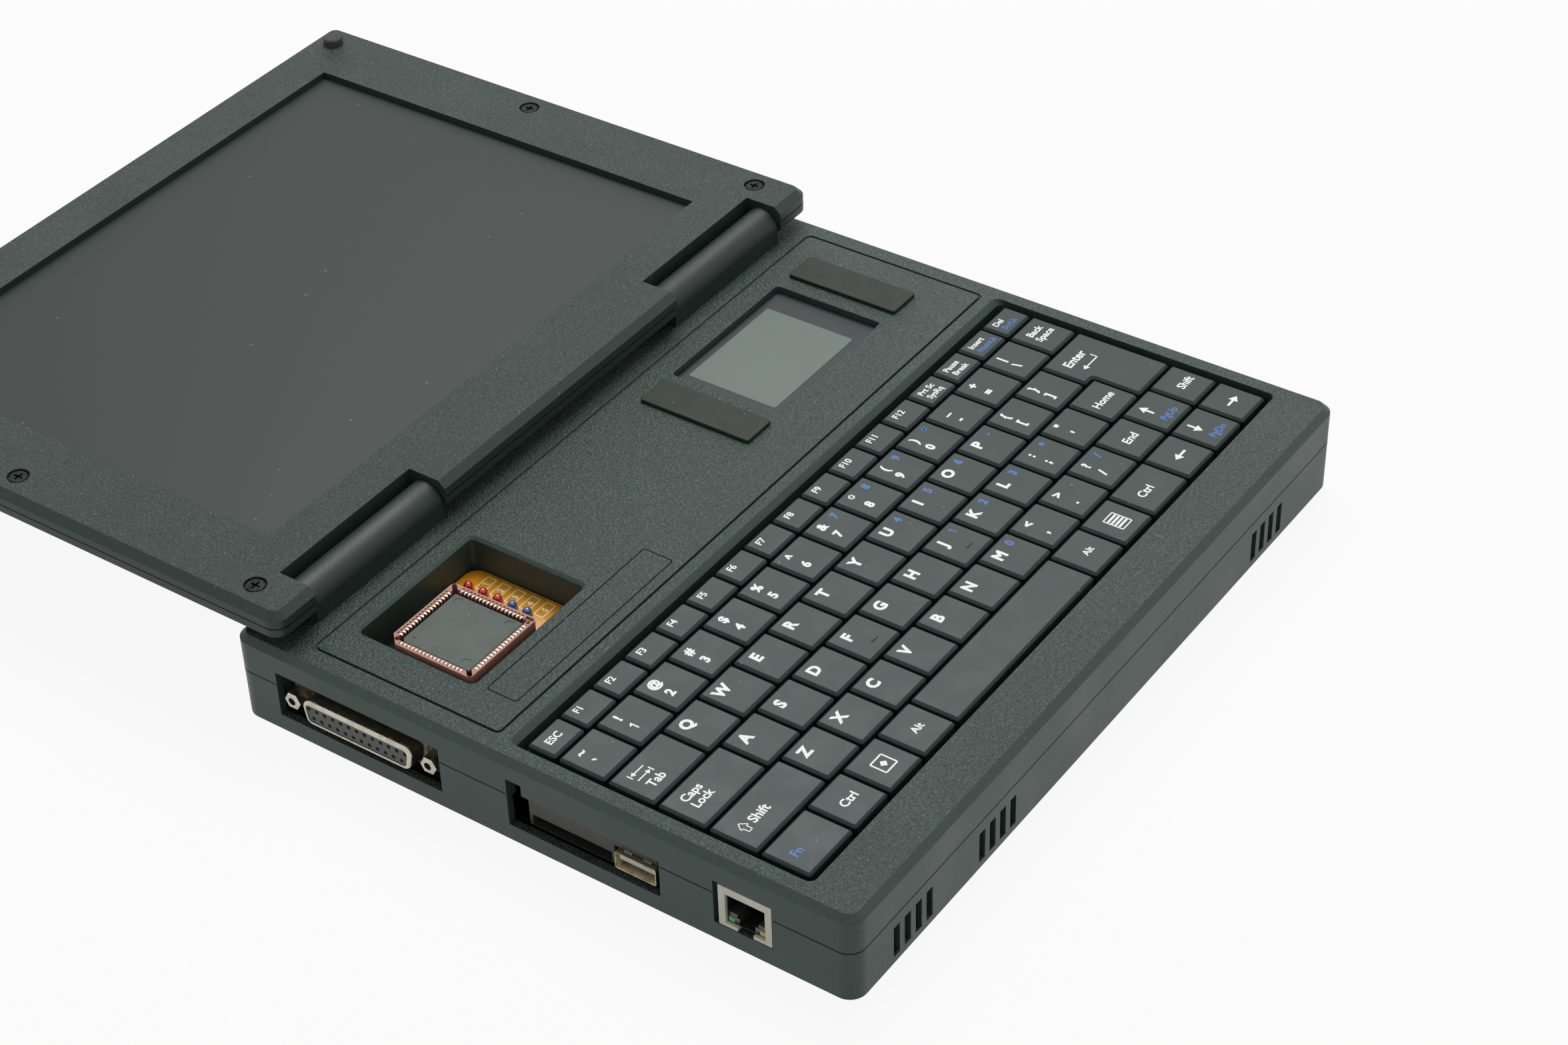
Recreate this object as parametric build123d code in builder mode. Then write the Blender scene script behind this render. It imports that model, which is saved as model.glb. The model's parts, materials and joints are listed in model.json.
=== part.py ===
"""Mini laptop with an open processor well, lying open with its lid flat.

Millimetres. The origin is the centre of the base's underside, +X is the user's right,
+Y points to the hinge and +Z is up. The lid is drawn fully open, as far as it goes.
"""

import os
from math import radians, tan

from build123d import *

# Base
BASE_WIDTH = 250.0
BASE_DEPTH = 200.0
BASE_HEIGHT = 28.5
BASE_CORNER = 5.0
BASE_CHAMFER = 1.9
UNDERSIDE_CHAMFER = 0.8
PARTING_HEIGHT = 16.6
WALL = 2.4
FLOOR = 2.2
DECK_THICKNESS = 2.2
LIP_HEIGHT = 1.4
LIP_WIDTH = 1.2
LIP_GAP = 0.15

# Shallow groove that frames the deck round the processor well and the touch pad
GROOVE_X = (-118.0, 118.0)
GROOVE_Y = (13.7, 77.4)
GROOVE_WIDTH = 0.9
GROOVE_DEPTH = 0.5
GROOVE_CORNER = 2.2

# The long flush plate between the processor well and the keyboard
ACCESS_X = (-105.6, -36.0)
ACCESS_Y = (17.8, 27.9)
ACCESS_THICKNESS = 1.6

# Keyboard
KEY_PITCH = 15.72
ROW_PITCH = 15.65
KEY_GAP = 0.9
KEY_CHAMFER = 0.75
KEY_CORNER = 0.5
KEY_TOP = 28.3
KEY_THICKNESS = 2.9
KEY_TRAVEL = 2.0
KEYS_X = (-117.2, 117.2)
KEYS_FRONT = -82.1
FUNCTION_ROW_DEPTH = 10.0
FUNCTION_KEYS = 17
KEY_WELL_X = (-118.9, 118.9)
KEY_WELL_Y = (-83.7, 8.7)
WELL_WALL = 1.6
PLATE_THICKNESS = 1.0
MEMBRANE_THICKNESS = 0.3

# Processor well and socket
WELL_X = (-105.7, -57.5)
WELL_Y = (32.1, 71.6)
WELL_RIM = 0.9
WELL_BOARD_TOP = 18.0
BOARD_THICKNESS = 1.6
SOCKET_CENTRE = (-91.0, 47.7)
SOCKET_SIDE = 28.8
SOCKET_TOP = 29.3
SOCKET_HEIGHT = 8.6
CONTACT_PITCH = 1.27
CONTACTS_PER_SIDE = 17
CHIP_SIDE = 24.2

# Touch pad and its two bar buttons
PAD_X = (34.6, 89.3)
PAD_Y = (32.1, 69.6)
PAD_RECESS = 2.0
BUTTON_CENTRES_X = (24.3, 100.9)
BUTTON_SIZE = (9.9, 36.4)
BUTTON_Y = 50.1
BUTTON_RISE = 1.2
BUTTON_TRAVEL = 0.5

# Ports on the left side, each cut-out as ((y low, y high), (z low, z high))
PARALLEL_CUT = ((29.4, 85.6), (6.1, 21.0))
CARD_CUT = ((-41.4, 7.0), (6.1, 18.4))
CARD_CUT_NOTCH = ((2.0, 7.0), (18.4, 21.9))
NETWORK_CUT = ((-75.8, -57.9), (6.6, 20.8))
MAIN_BOARD_TOP = 6.9
PARALLEL_CENTRE = (56.8, 13.4)
PARALLEL_FLANGE_X = -120.6
JACKSCREW_SPACING = 47.04
JACKSCREW_BORE_RADIUS = 1.2
NETWORK_Y = (-75.5, -59.5)
USB_CENTRE_Y = -32.8
USB_BOTTOM = MAIN_BOARD_TOP + 0.4
USB_SIZE = (13.1, 5.7)

# Lid and hinge
LID_BOTTOM = 31.3
LID_TOP = 40.9
LID_Y = (81.9, 276.6)
LID_CORNER = 4.5
LID_CHAMFER = 2.2
LID_WALL = 2.0
LID_BACK_THICKNESS = 1.8
BEZEL_THICKNESS = 2.0
NOTCH_X = (54.8, 109.4)
NOTCH_END_Y = 94.4
SCREEN_X = (-98.8, 98.8)
SCREEN_Y = (107.4, 258.2)
HINGE_Y = 88.4
HINGE_Z = (LID_BOTTOM + LID_TOP) / 2
HOUSING_X = (55.2, 109.0)
HOUSING_RADIUS = 5.6
HOUSING_ARC_Z = 33.6
SHAFT_RADIUS = 1.5
SHAFT_CLEARANCE = 0.05
LID_SCREWS = [(x, y) for x in (-116.7, 116.7) for y in (96.6, 185.6)]
BUMPERS = [(-115.2, 268.2), (115.2, 268.2)]

# Fasteners and feet
CASE_SCREWS = [(-116.0, -91.0), (0.0, -91.0), (116.0, -91.0), (-116.0, 91.0), (0.0, 91.0), (116.0, 91.0)]
FEET = [(x, y) for x in (-106.0, 106.0) for y in (-83.0, 83.0)]
FOOT_RADIUS = 6.0
FOOT_DROP = 1.2

# Looking at the left side from outside: local x runs forwards, local y runs up
LEFT_SIDE_X = -BASE_WIDTH / 2
DECK_UNDERSIDE = BASE_HEIGHT - DECK_THICKNESS
PLATE_BOTTOM = KEY_TOP - KEY_THICKNESS - KEY_TRAVEL - 0.2 - MEMBRANE_THICKNESS - PLATE_THICKNESS


def save(piece, name):
    """Label a finished piece and write it as its own file."""
    piece.part.label = name
    export_step(piece.part, f"parts/{name}.step")


def middle(limits):
    return (limits[0] + limits[1]) / 2


def length(limits):
    return limits[1] - limits[0]


def grow(limits, amount):
    """Move both limits outwards by the same amount."""
    return (limits[0] - amount, limits[1] + amount)


def block(xs, ys, zs, radius=0.0, mode=Mode.ADD):
    """Extrude a rectangle, with rounded upright corners if a radius is given."""
    with BuildSketch(Plane.XY.offset(zs[0])) as outline:
        with Locations((middle(xs), middle(ys))):
            if radius > 0:
                RectangleRounded(length(xs), length(ys), radius)
            else:
                Rectangle(length(xs), length(ys))
    extrude(outline.sketch, amount=length(zs), mode=mode)


def post(centres, radius, zs, mode=Mode.ADD):
    """Extrude upright round posts, or cut round holes, at the given centres."""
    with BuildSketch(Plane.XY.offset(zs[0])) as circles:
        with Locations(*centres):
            Circle(radius)
    extrude(circles.sketch, amount=length(zs), mode=mode)


def left_side_plane(x, y=0.0, z=0.0):
    """A plane that faces the user's left, for the outlines of the ports."""
    return Plane(origin=(x, y, z), x_dir=(0, -1, 0), z_dir=(-1, 0, 0))


def cut_side_ports():
    """Open the three port cut-outs through the left wall and the lip behind it."""
    for ys, zs in (PARALLEL_CUT, CARD_CUT, CARD_CUT_NOTCH, NETWORK_CUT):
        block((LEFT_SIDE_X - 1, LEFT_SIDE_X + WALL + LIP_GAP + LIP_WIDTH + 0.3), ys, zs, mode=Mode.SUBTRACT)


def make_bottom_case():
    """Tray with a lip, front vent slots, screw bosses and board posts."""
    half = (BASE_WIDTH / 2, BASE_DEPTH / 2)
    outer_x, outer_y = (-half[0], half[0]), (-half[1], half[1])
    vent_centres_x = (-99.1, -59.3, 85.1)
    vent_pitch = 5.0
    vent_size = (2.8, 9.8)
    vent_z = 7.95
    board_posts = [(-112.0, -50.0), (-60.0, -70.0), (10.0, -70.0), (-60.0, 76.0), (10.0, 76.0), (10.0, 0.0)]
    with BuildPart() as bottom_case:
        block(outer_x, outer_y, (0, PARTING_HEIGHT), BASE_CORNER)
        chamfer(bottom_case.faces().sort_by(Axis.Z)[0].edges(), UNDERSIDE_CHAMFER)
        block(grow(outer_x, -WALL), grow(outer_y, -WALL), (FLOOR, PARTING_HEIGHT), BASE_CORNER - WALL,
              mode=Mode.SUBTRACT)
        lip_outer = WALL + LIP_GAP
        lip_inner = lip_outer + LIP_WIDTH
        root = PARTING_HEIGHT - 2.0
        with BuildSketch(Plane.XY.offset(root)) as lip_root:
            RectangleRounded(BASE_WIDTH - 2 * WALL + 0.2, BASE_DEPTH - 2 * WALL + 0.2, BASE_CORNER - WALL)
            RectangleRounded(BASE_WIDTH - 2 * lip_inner, BASE_DEPTH - 2 * lip_inner, 1.2, mode=Mode.SUBTRACT)
        extrude(lip_root.sketch, amount=PARTING_HEIGHT - root)
        with BuildSketch(Plane.XY.offset(PARTING_HEIGHT)) as lip:
            RectangleRounded(BASE_WIDTH - 2 * lip_outer, BASE_DEPTH - 2 * lip_outer, BASE_CORNER - WALL)
            RectangleRounded(BASE_WIDTH - 2 * lip_inner, BASE_DEPTH - 2 * lip_inner, 1.2, mode=Mode.SUBTRACT)
        extrude(lip.sketch, amount=LIP_HEIGHT)
        post(CASE_SCREWS, 3.4, (FLOOR, PARTING_HEIGHT - 0.4))
        post(CASE_SCREWS, 1.6, (0, PARTING_HEIGHT), mode=Mode.SUBTRACT)
        post(CASE_SCREWS, 3.0, (0, 1.5), mode=Mode.SUBTRACT)
        post(board_posts, 2.5, (FLOOR, MAIN_BOARD_TOP - BOARD_THICKNESS))
        post(FEET, FOOT_RADIUS, (0, 0.6), mode=Mode.SUBTRACT)
        cut_side_ports()
        front_wall = Plane(origin=(0, -half[1] - 1, vent_z), x_dir=(1, 0, 0), z_dir=(0, -1, 0))
        with BuildSketch(front_wall) as vents:
            for centre_x in vent_centres_x:
                with Locations((centre_x, 0)):
                    with GridLocations(vent_pitch, 0, 4, 1):
                        Rectangle(*vent_size)
        extrude(vents.sketch, amount=-(WALL + LIP_WIDTH + 2), mode=Mode.SUBTRACT)
        with BuildSketch() as floor_vents:
            with Locations((60.0, 55.0)):
                with GridLocations(6.0, 0, 9, 1):
                    Rectangle(2.6, 30.0)
        extrude(floor_vents.sketch, amount=FLOOR, mode=Mode.SUBTRACT)
    save(bottom_case, "bottom_case")


def make_top_case():
    """Deck with its framing groove, keyboard well, processor well and the other openings."""
    outer_x = (-BASE_WIDTH / 2, BASE_WIDTH / 2)
    outer_y = (-BASE_DEPTH / 2, BASE_DEPTH / 2)
    ledge_z = (PLATE_BOTTOM - 1.5, PLATE_BOTTOM)
    well_ledge_z = (WELL_BOARD_TOP - BOARD_THICKNESS - 1.6, WELL_BOARD_TOP - BOARD_THICKNESS)
    key_well_slope = 1.7
    through = BASE_HEIGHT + 1
    with BuildPart() as top_case:
        block(outer_x, outer_y, (PARTING_HEIGHT, BASE_HEIGHT), BASE_CORNER)
        chamfer(top_case.faces().sort_by(Axis.Z)[-1].edges(), BASE_CHAMFER)
        block(grow(outer_x, -WALL), grow(outer_y, -WALL), (PARTING_HEIGHT, DECK_UNDERSIDE), BASE_CORNER - WALL,
              mode=Mode.SUBTRACT)
        with BuildSketch(Plane.XY.offset(BASE_HEIGHT)) as groove:
            with Locations((middle(GROOVE_X), middle(GROOVE_Y))):
                RectangleRounded(length(GROOVE_X), length(GROOVE_Y), GROOVE_CORNER)
                RectangleRounded(length(GROOVE_X) - 2 * GROOVE_WIDTH, length(GROOVE_Y) - 2 * GROOVE_WIDTH,
                                 GROOVE_CORNER - GROOVE_WIDTH, mode=Mode.SUBTRACT)
        extrude(groove.sketch, amount=-GROOVE_DEPTH, mode=Mode.SUBTRACT)
        # The keyboard's well wall, the ledge that carries its plate, and the opening
        block(grow(KEY_WELL_X, WELL_WALL), grow(KEY_WELL_Y, WELL_WALL), (ledge_z[0], DECK_UNDERSIDE), 3.0)
        block(KEY_WELL_X, KEY_WELL_Y, (ledge_z[1], through), 2.2, mode=Mode.SUBTRACT)
        block(grow(KEY_WELL_X, -3.0), grow(KEY_WELL_Y, -3.0), (ledge_z[0] - 1, through), 1.0, mode=Mode.SUBTRACT)
        with BuildSketch(Plane.XY.offset(BASE_HEIGHT - key_well_slope)) as well_throat:
            with Locations((middle(KEY_WELL_X), middle(KEY_WELL_Y))):
                RectangleRounded(length(KEY_WELL_X), length(KEY_WELL_Y), 2.2)
        with BuildSketch(Plane.XY.offset(BASE_HEIGHT)) as well_mouth:
            with Locations((middle(KEY_WELL_X), middle(KEY_WELL_Y) + key_well_slope / 2)):
                RectangleRounded(length(KEY_WELL_X), length(KEY_WELL_Y) + key_well_slope, 2.2)
        loft([well_throat.sketch, well_mouth.sketch], mode=Mode.SUBTRACT)
        # The processor well: walls down to a ledge under its board
        block(grow(WELL_X, WELL_WALL), grow(WELL_Y, WELL_WALL), (well_ledge_z[0], DECK_UNDERSIDE), 2.5)
        block(WELL_X, WELL_Y, (well_ledge_z[1], through), 1.5, mode=Mode.SUBTRACT)
        block(grow(WELL_X, -2.2), grow(WELL_Y, -2.2), (well_ledge_z[0] - 1, through), 1.0, mode=Mode.SUBTRACT)
        with BuildSketch(Plane.XY.offset(BASE_HEIGHT - WELL_RIM)) as rim_foot:
            with Locations((middle(WELL_X), middle(WELL_Y))):
                RectangleRounded(length(WELL_X), length(WELL_Y), 1.5)
        with BuildSketch(Plane.XY.offset(BASE_HEIGHT)) as rim_top:
            with Locations((middle(WELL_X), middle(WELL_Y))):
                RectangleRounded(length(WELL_X) + 2 * WELL_RIM, length(WELL_Y) + 2 * WELL_RIM, 1.5 + WELL_RIM)
        loft([rim_foot.sketch, rim_top.sketch], mode=Mode.SUBTRACT)
        # Touch pad, buttons and the flush access plate's pocket
        block(PAD_X, PAD_Y, (DECK_UNDERSIDE - 1, through), 1.2, mode=Mode.SUBTRACT)
        with BuildSketch(Plane.XY.offset(DECK_UNDERSIDE - 1)) as button_holes:
            with Locations(*[(x, BUTTON_Y) for x in BUTTON_CENTRES_X]):
                RectangleRounded(BUTTON_SIZE[0] + 0.6, BUTTON_SIZE[1] + 0.6, 1.0)
        extrude(button_holes.sketch, amount=10, mode=Mode.SUBTRACT)
        block(ACCESS_X, ACCESS_Y, (BASE_HEIGHT - ACCESS_THICKNESS, through), 1.0, mode=Mode.SUBTRACT)
        # Bosses for the case screws, and holes for the pegs under the hinge housings
        post(CASE_SCREWS, 3.2, (PARTING_HEIGHT + 0.2, DECK_UNDERSIDE))
        post(CASE_SCREWS, 1.4, (PARTING_HEIGHT, 23.0), mode=Mode.SUBTRACT)
        post(housing_pegs(), 1.6, (DECK_UNDERSIDE - 1, through), mode=Mode.SUBTRACT)
        cut_side_ports()
    save(top_case, "top_case")


def make_access_plate():
    gap = 0.2
    with BuildPart() as access_plate:
        block(grow(ACCESS_X, -gap), grow(ACCESS_Y, -gap), (BASE_HEIGHT - ACCESS_THICKNESS, BASE_HEIGHT), 0.8)
    save(access_plate, "access_plate")


def make_feet_and_screws():
    with BuildPart() as rubber_feet:
        post(FEET, FOOT_RADIUS, (-FOOT_DROP, 0.6))
        chamfer(rubber_feet.faces().group_by(Axis.Z)[0].edges(), 0.5)
    save(rubber_feet, "rubber_feet")
    with BuildPart() as case_screws:
        post(CASE_SCREWS, 2.7, (0.2, 1.5))
        post(CASE_SCREWS, 1.4, (1.5, 22.0))
        with BuildSketch(Plane.XY.offset(0.2)) as drives:
            with Locations(*CASE_SCREWS):
                Rectangle(2.8, 0.6)
                Rectangle(0.6, 2.8)
        extrude(drives.sketch, amount=0.8, mode=Mode.SUBTRACT)
    save(case_screws, "case_screws")


def make_main_board():
    """The system board that the side ports are soldered to, and the battery beside it."""
    with BuildPart() as main_board:
        block((-121.5, 20.0), (-78.0, 82.0), (MAIN_BOARD_TOP - BOARD_THICKNESS, MAIN_BOARD_TOP), 1.5)
    save(main_board, "main_board")
    with BuildPart() as battery_pack:
        block((28.0, 116.0), (-82.0, 20.0), (FLOOR, FLOOR + 10.0), 2.0)
    save(battery_pack, "battery_pack")


def square_ring_locations(half_side):
    """Every contact's place on the four sides of the socket, each turned to face inwards."""
    steps = [(i - (CONTACTS_PER_SIDE - 1) / 2) * CONTACT_PITCH for i in range(CONTACTS_PER_SIDE)]
    cx, cy = SOCKET_CENTRE
    places = []
    for turn in range(4):
        side = Location((cx, cy, 0), (0, 0, 90 * turn))
        places += [side * Location((half_side, step, 0)) for step in steps]
    return places


def make_processor_well():
    """The board in the well, its five lamps, the chip socket, its contacts and the chip."""
    cx, cy = SOCKET_CENTRE
    half = SOCKET_SIDE / 2
    cavity = 12.5
    slot_depth = 1.3
    cavity_floor = SOCKET_TOP - 5.2
    with BuildPart() as indicator_board:
        block(grow(WELL_X, -0.4), grow(WELL_Y, -0.4),
              (WELL_BOARD_TOP - BOARD_THICKNESS, WELL_BOARD_TOP), 4.2)
    save(indicator_board, "indicator_board")

    lamp_radius = 1.5
    lamp_pitch = 5.15
    lamps = [(-66.6, 45.6 + lamp_pitch * i) for i in range(5)]
    with BuildPart() as indicator_lamps:
        post(lamps, lamp_radius, (WELL_BOARD_TOP, WELL_BOARD_TOP + 3.0))
        chamfer(indicator_lamps.faces().group_by(Axis.Z)[-1].edges(), 0.7)
    save(indicator_lamps, "indicator_lamps")

    with BuildPart() as processor_socket:
        block((cx - half, cx + half), (cy - half, cy + half), (SOCKET_TOP - SOCKET_HEIGHT, SOCKET_TOP))
        uprights = processor_socket.edges().filter_by(Axis.Z).sort_by(Axis.X)
        chamfer(uprights[:2].sort_by(Axis.Y)[-1], 3.2)
        fillet(uprights[:2].sort_by(Axis.Y)[0], 1.6)
        fillet(uprights[2:], 1.6)
        block((cx - cavity, cx + cavity), (cy - cavity, cy + cavity), (cavity_floor, SOCKET_TOP), mode=Mode.SUBTRACT)
        # A recess in the wall for each contact
        with BuildSketch(Plane.XY.offset(cavity_floor)) as recesses:
            with Locations(*square_ring_locations(cavity + slot_depth / 2 - 0.05)):
                Rectangle(slot_depth + 0.1, 0.75)
        extrude(recesses.sketch, amount=SOCKET_TOP - cavity_floor, mode=Mode.SUBTRACT)
        # Slots at two corners for the puller, and the round hole that marks the first contact
        with BuildSketch(Plane.XY.offset(SOCKET_TOP - 3.5)) as corner_marks:
            for sign in (-1, 1):
                with Locations(Location((cx + sign * 12.6, cy + sign * 12.6, 0), (0, 0, 45))):
                    SlotOverall(3.6, 1.4)
            with Locations((cx - 12.2, cy + 12.2)):
                Circle(0.8)
        extrude(corner_marks.sketch, amount=4, mode=Mode.SUBTRACT)
        with BuildSketch(Plane.XY.offset(SOCKET_TOP - 0.8)) as corner_angle:
            with Locations((cx + 12.55, cy - 12.55)):
                Rectangle(2.6, 2.6)
            with Locations((cx + 12.05, cy - 12.05)):
                Rectangle(1.6, 1.6, mode=Mode.SUBTRACT)
        extrude(corner_angle.sketch, amount=1, mode=Mode.SUBTRACT)
        # Moulded feet that stand on the board
        with BuildSketch(Plane.XY.offset(WELL_BOARD_TOP)) as socket_feet:
            with Locations((cx, cy)):
                with GridLocations(SOCKET_SIDE - 6, SOCKET_SIDE - 6, 2, 2):
                    Circle(1.6)
        extrude(socket_feet.sketch, amount=SOCKET_TOP - SOCKET_HEIGHT - WELL_BOARD_TOP)
    save(processor_socket, "processor_socket")

    with BuildPart() as socket_contacts:
        with BuildSketch(Plane.XY.offset(cavity_floor)) as blades:
            with Locations(*square_ring_locations(cavity + 0.45)):
                Rectangle(1.3, 0.5)
        extrude(blades.sketch, amount=4.8)
        chamfer(socket_contacts.faces().group_by(Axis.Z)[-1].edges().filter_by(Axis.Z, reverse=True)
                .filter_by(lambda edge: edge.length < 0.6), 0.45)
    save(socket_contacts, "socket_contacts")

    chip_top = SOCKET_TOP - 0.8
    chip_half = CHIP_SIDE / 2 - 0.35
    with BuildPart() as processor_chip:
        block((cx - chip_half, cx + chip_half), (cy - chip_half, cy + chip_half), (chip_top - 4.2, chip_top))
        uprights = processor_chip.edges().filter_by(Axis.Z).sort_by(Axis.X)
        chamfer(uprights[:2].sort_by(Axis.Y)[-1], 1.2)
        chamfer(processor_chip.faces().sort_by(Axis.Z)[-1].edges(), 0.25)
        marks = [(cx + 9.3, cy + 8.8), (cx + 9.3, cy - 8.8), (cx - 9.3, cy - 8.8)]
        post(marks, 1.45, (chip_top - 0.12, chip_top), mode=Mode.SUBTRACT)
        post([(cx - 9.0, cy + 9.0)], 0.5, (chip_top - 0.12, chip_top), mode=Mode.SUBTRACT)
    save(processor_chip, "processor_chip")


def make_touch_pad():
    """The recessed pad with the flange that holds it under the deck, and its buttons."""
    pad_top = BASE_HEIGHT - PAD_RECESS
    flange_z = (DECK_UNDERSIDE - 1.7, DECK_UNDERSIDE - 0.1)
    with BuildPart() as touch_pad:
        block(grow(PAD_X, -0.2), grow(PAD_Y, -0.2), (flange_z[0], pad_top), 1.0)
        block(grow(PAD_X, 2.4), grow(PAD_Y, 2.4), flange_z, 1.0)
    save(touch_pad, "touch_pad")
    for side, centre_x in zip(("left", "right"), BUTTON_CENTRES_X):
        xs = grow((centre_x, centre_x), BUTTON_SIZE[0] / 2)
        ys = grow((BUTTON_Y, BUTTON_Y), BUTTON_SIZE[1] / 2)
        with BuildPart() as button:
            block(xs, ys, (DECK_UNDERSIDE - 1.4, BASE_HEIGHT + BUTTON_RISE), 0.8)
            chamfer(button.faces().sort_by(Axis.Z)[-1].edges(), 0.5)
            block(grow(xs, 1.0), grow(ys, 1.0), (DECK_UNDERSIDE - 1.4, DECK_UNDERSIDE - 0.2), 0.8)
        save(button, f"pad_button_{side}")


def d_outline(width, height, corner):
    """The D shape of a parallel port: the long row on top, the sides leaning in by 10 degrees."""
    lean = height * tan(radians(10))
    with BuildSketch() as outline:
        with BuildLine():
            Polyline((-width / 2, height / 2), (width / 2, height / 2), (width / 2 - lean, -height / 2),
                     (-width / 2 + lean, -height / 2), close=True)
        make_face()
        fillet(outline.vertices(), corner)
    return outline.sketch


def make_parallel_port():
    """The 25-way socket: its metal shell and flange, the insert with its holes, and the jackscrews."""
    y, z = PARALLEL_CENTRE
    shell_depth = 5.9
    front = left_side_plane(PARALLEL_FLANGE_X, y, z)
    contact_pitch = 2.77
    row_gap = 2.84
    with BuildPart() as parallel_shell:
        with BuildSketch(front) as flange:
            RectangleRounded(53.0, 12.5, 1.5)
            with GridLocations(JACKSCREW_SPACING, 0, 2, 1):
                Circle(1.6, mode=Mode.SUBTRACT)
        extrude(flange.sketch, amount=-0.8)
        with BuildSketch(front) as tube:
            add(d_outline(38.4, 8.0, 2.5))
        extrude(tube.sketch, amount=shell_depth)
        with BuildSketch(front) as tube_bore:
            add(d_outline(37.6, 7.2, 2.1))
        extrude(tube_bore.sketch, amount=shell_depth, mode=Mode.SUBTRACT)
        extrude(tube_bore.sketch, amount=-0.8, mode=Mode.SUBTRACT)
    save(parallel_shell, "parallel_port_shell")

    with BuildPart() as parallel_insert:
        with BuildSketch(front) as face:
            add(d_outline(37.5, 7.1, 2.05))
        extrude(face.sketch, amount=shell_depth - 0.3)
        extrude(face.sketch, amount=-0.8)
        with BuildSketch(front.offset(-0.8)) as body:
            Rectangle(41.0, 10.6)
        extrude(body.sketch, amount=-8.0)
        with BuildSketch(front.offset(shell_depth - 0.3)) as holes:
            with Locations((0, row_gap / 2)):
                with GridLocations(contact_pitch, 0, 13, 1):
                    RegularPolygon(0.65, 10)
            with Locations((0, -row_gap / 2)):
                with GridLocations(contact_pitch, 0, 12, 1):
                    RegularPolygon(0.65, 10)
        extrude(holes.sketch, amount=-3.0, mode=Mode.SUBTRACT)
    save(parallel_insert, "parallel_port_insert")

    with BuildPart() as jackscrews:
        with BuildSketch(front) as hexagons:
            with GridLocations(JACKSCREW_SPACING, 0, 2, 1):
                RegularPolygon(2.4, 6, major_radius=False)
        extrude(hexagons.sketch, amount=4.8)
        chamfer(jackscrews.faces().group_by(Axis.X)[0].edges(), 0.35)
        with BuildSketch(front.offset(4.8)) as bores:
            with GridLocations(JACKSCREW_SPACING, 0, 2, 1):
                Circle(JACKSCREW_BORE_RADIUS)
        extrude(bores.sketch, amount=-4.8, mode=Mode.SUBTRACT)
    save(jackscrews, "jackscrews")


def make_network_jack():
    """The eight-way jack: a mouth with a latch slot below it and a lamp at each lower corner."""
    front = LEFT_SIDE_X
    depth = 21.0
    y = middle(NETWORK_Y)
    zs = (MAIN_BOARD_TOP, MAIN_BOARD_TOP + 13.5)
    mouth_y = grow((y, y), 6.0)
    mouth_z = (zs[0] + 1.2, zs[1] - 2.4)
    latch_y = grow((y, y), 2.4)
    mouth_x = (front, front + 14.0)
    lamp_z = (mouth_z[0], mouth_z[0] + 2.2)
    with BuildPart() as network_jack:
        block((front, front + depth), NETWORK_Y, zs)
        block(mouth_x, mouth_y, mouth_z, mode=Mode.SUBTRACT)
        block(mouth_x, latch_y, (zs[0], mouth_z[0]), mode=Mode.SUBTRACT)
    save(network_jack, "network_jack")
    with BuildPart() as network_lamps:
        for ys in ((mouth_y[0], latch_y[0]), (latch_y[1], mouth_y[1])):
            block((front + 1.0, front + 6.0), ys, lamp_z)
    save(network_lamps, "network_lamps")


def make_usb_port():
    """The folded metal shell and the plastic tongue inside it."""
    front = LEFT_SIDE_X + 1.2
    depth = 14.0
    width, height = USB_SIZE
    sheet = 0.4
    bottom = USB_BOTTOM
    ys = grow((USB_CENTRE_Y, USB_CENTRE_Y), width / 2)
    with BuildPart() as usb_shell:
        block((front, front + depth), ys, (bottom, bottom + height))
        block((front, front + depth - sheet), grow(ys, -sheet), (bottom + sheet, bottom + height - sheet),
              mode=Mode.SUBTRACT)
        # Two spring tabs are slit in the top face
        for centre in (-3.0, 3.0):
            tab_y = grow((USB_CENTRE_Y + centre, USB_CENTRE_Y + centre), 1.3)
            block((front + 2.0, front + 5.5), tab_y, (bottom + height - sheet, bottom + height),
                  mode=Mode.SUBTRACT)
        # Solder legs reach the board
        for leg_y in (ys[0], ys[1] - sheet):
            block((front + 5.0, front + 7.5), (leg_y, leg_y + sheet), (MAIN_BOARD_TOP, bottom + sheet))
    save(usb_shell, "usb_shell")
    with BuildPart() as usb_tongue:
        block((front + 1.0, front + depth - sheet), grow((USB_CENTRE_Y, USB_CENTRE_Y), 5.6),
              (bottom + 2.9, bottom + 4.7))
        for rib_y in (-2.9, 2.9):
            centre = USB_CENTRE_Y + rib_y
            block((front + 2.6, front + depth - 3.0), grow((centre, centre), 0.7), (bottom + 1.9, bottom + 2.9))
        block((front + depth - 3.0, front + depth - sheet), grow(ys, -sheet - 0.05),
              (bottom + sheet, bottom + height - sheet))
    save(usb_tongue, "usb_tongue")


def make_card_slot():
    """The memory card's slot and the upright panel above it, set back inside the cut-out."""
    front = LEFT_SIDE_X + 2.6
    slot_y = (-25.4, 2.0)
    slot_z = (MAIN_BOARD_TOP, MAIN_BOARD_TOP + 4.4)
    panel_top = 20.0
    above_usb = USB_BOTTOM + USB_SIZE[1] + 0.6
    with BuildPart() as card_slot:
        block((front, front + 38.0), slot_y, slot_z)
        block((front, front + 36.5), grow(slot_y, -1.0), (slot_z[0] + 0.3, slot_z[1] - 0.7), mode=Mode.SUBTRACT)
        block((front, front + 1.2), slot_y, (slot_z[1], panel_top))
        block((front, front + 1.2), (-39.0, slot_y[0]), (above_usb, panel_top))
    save(card_slot, "card_slot")


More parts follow.
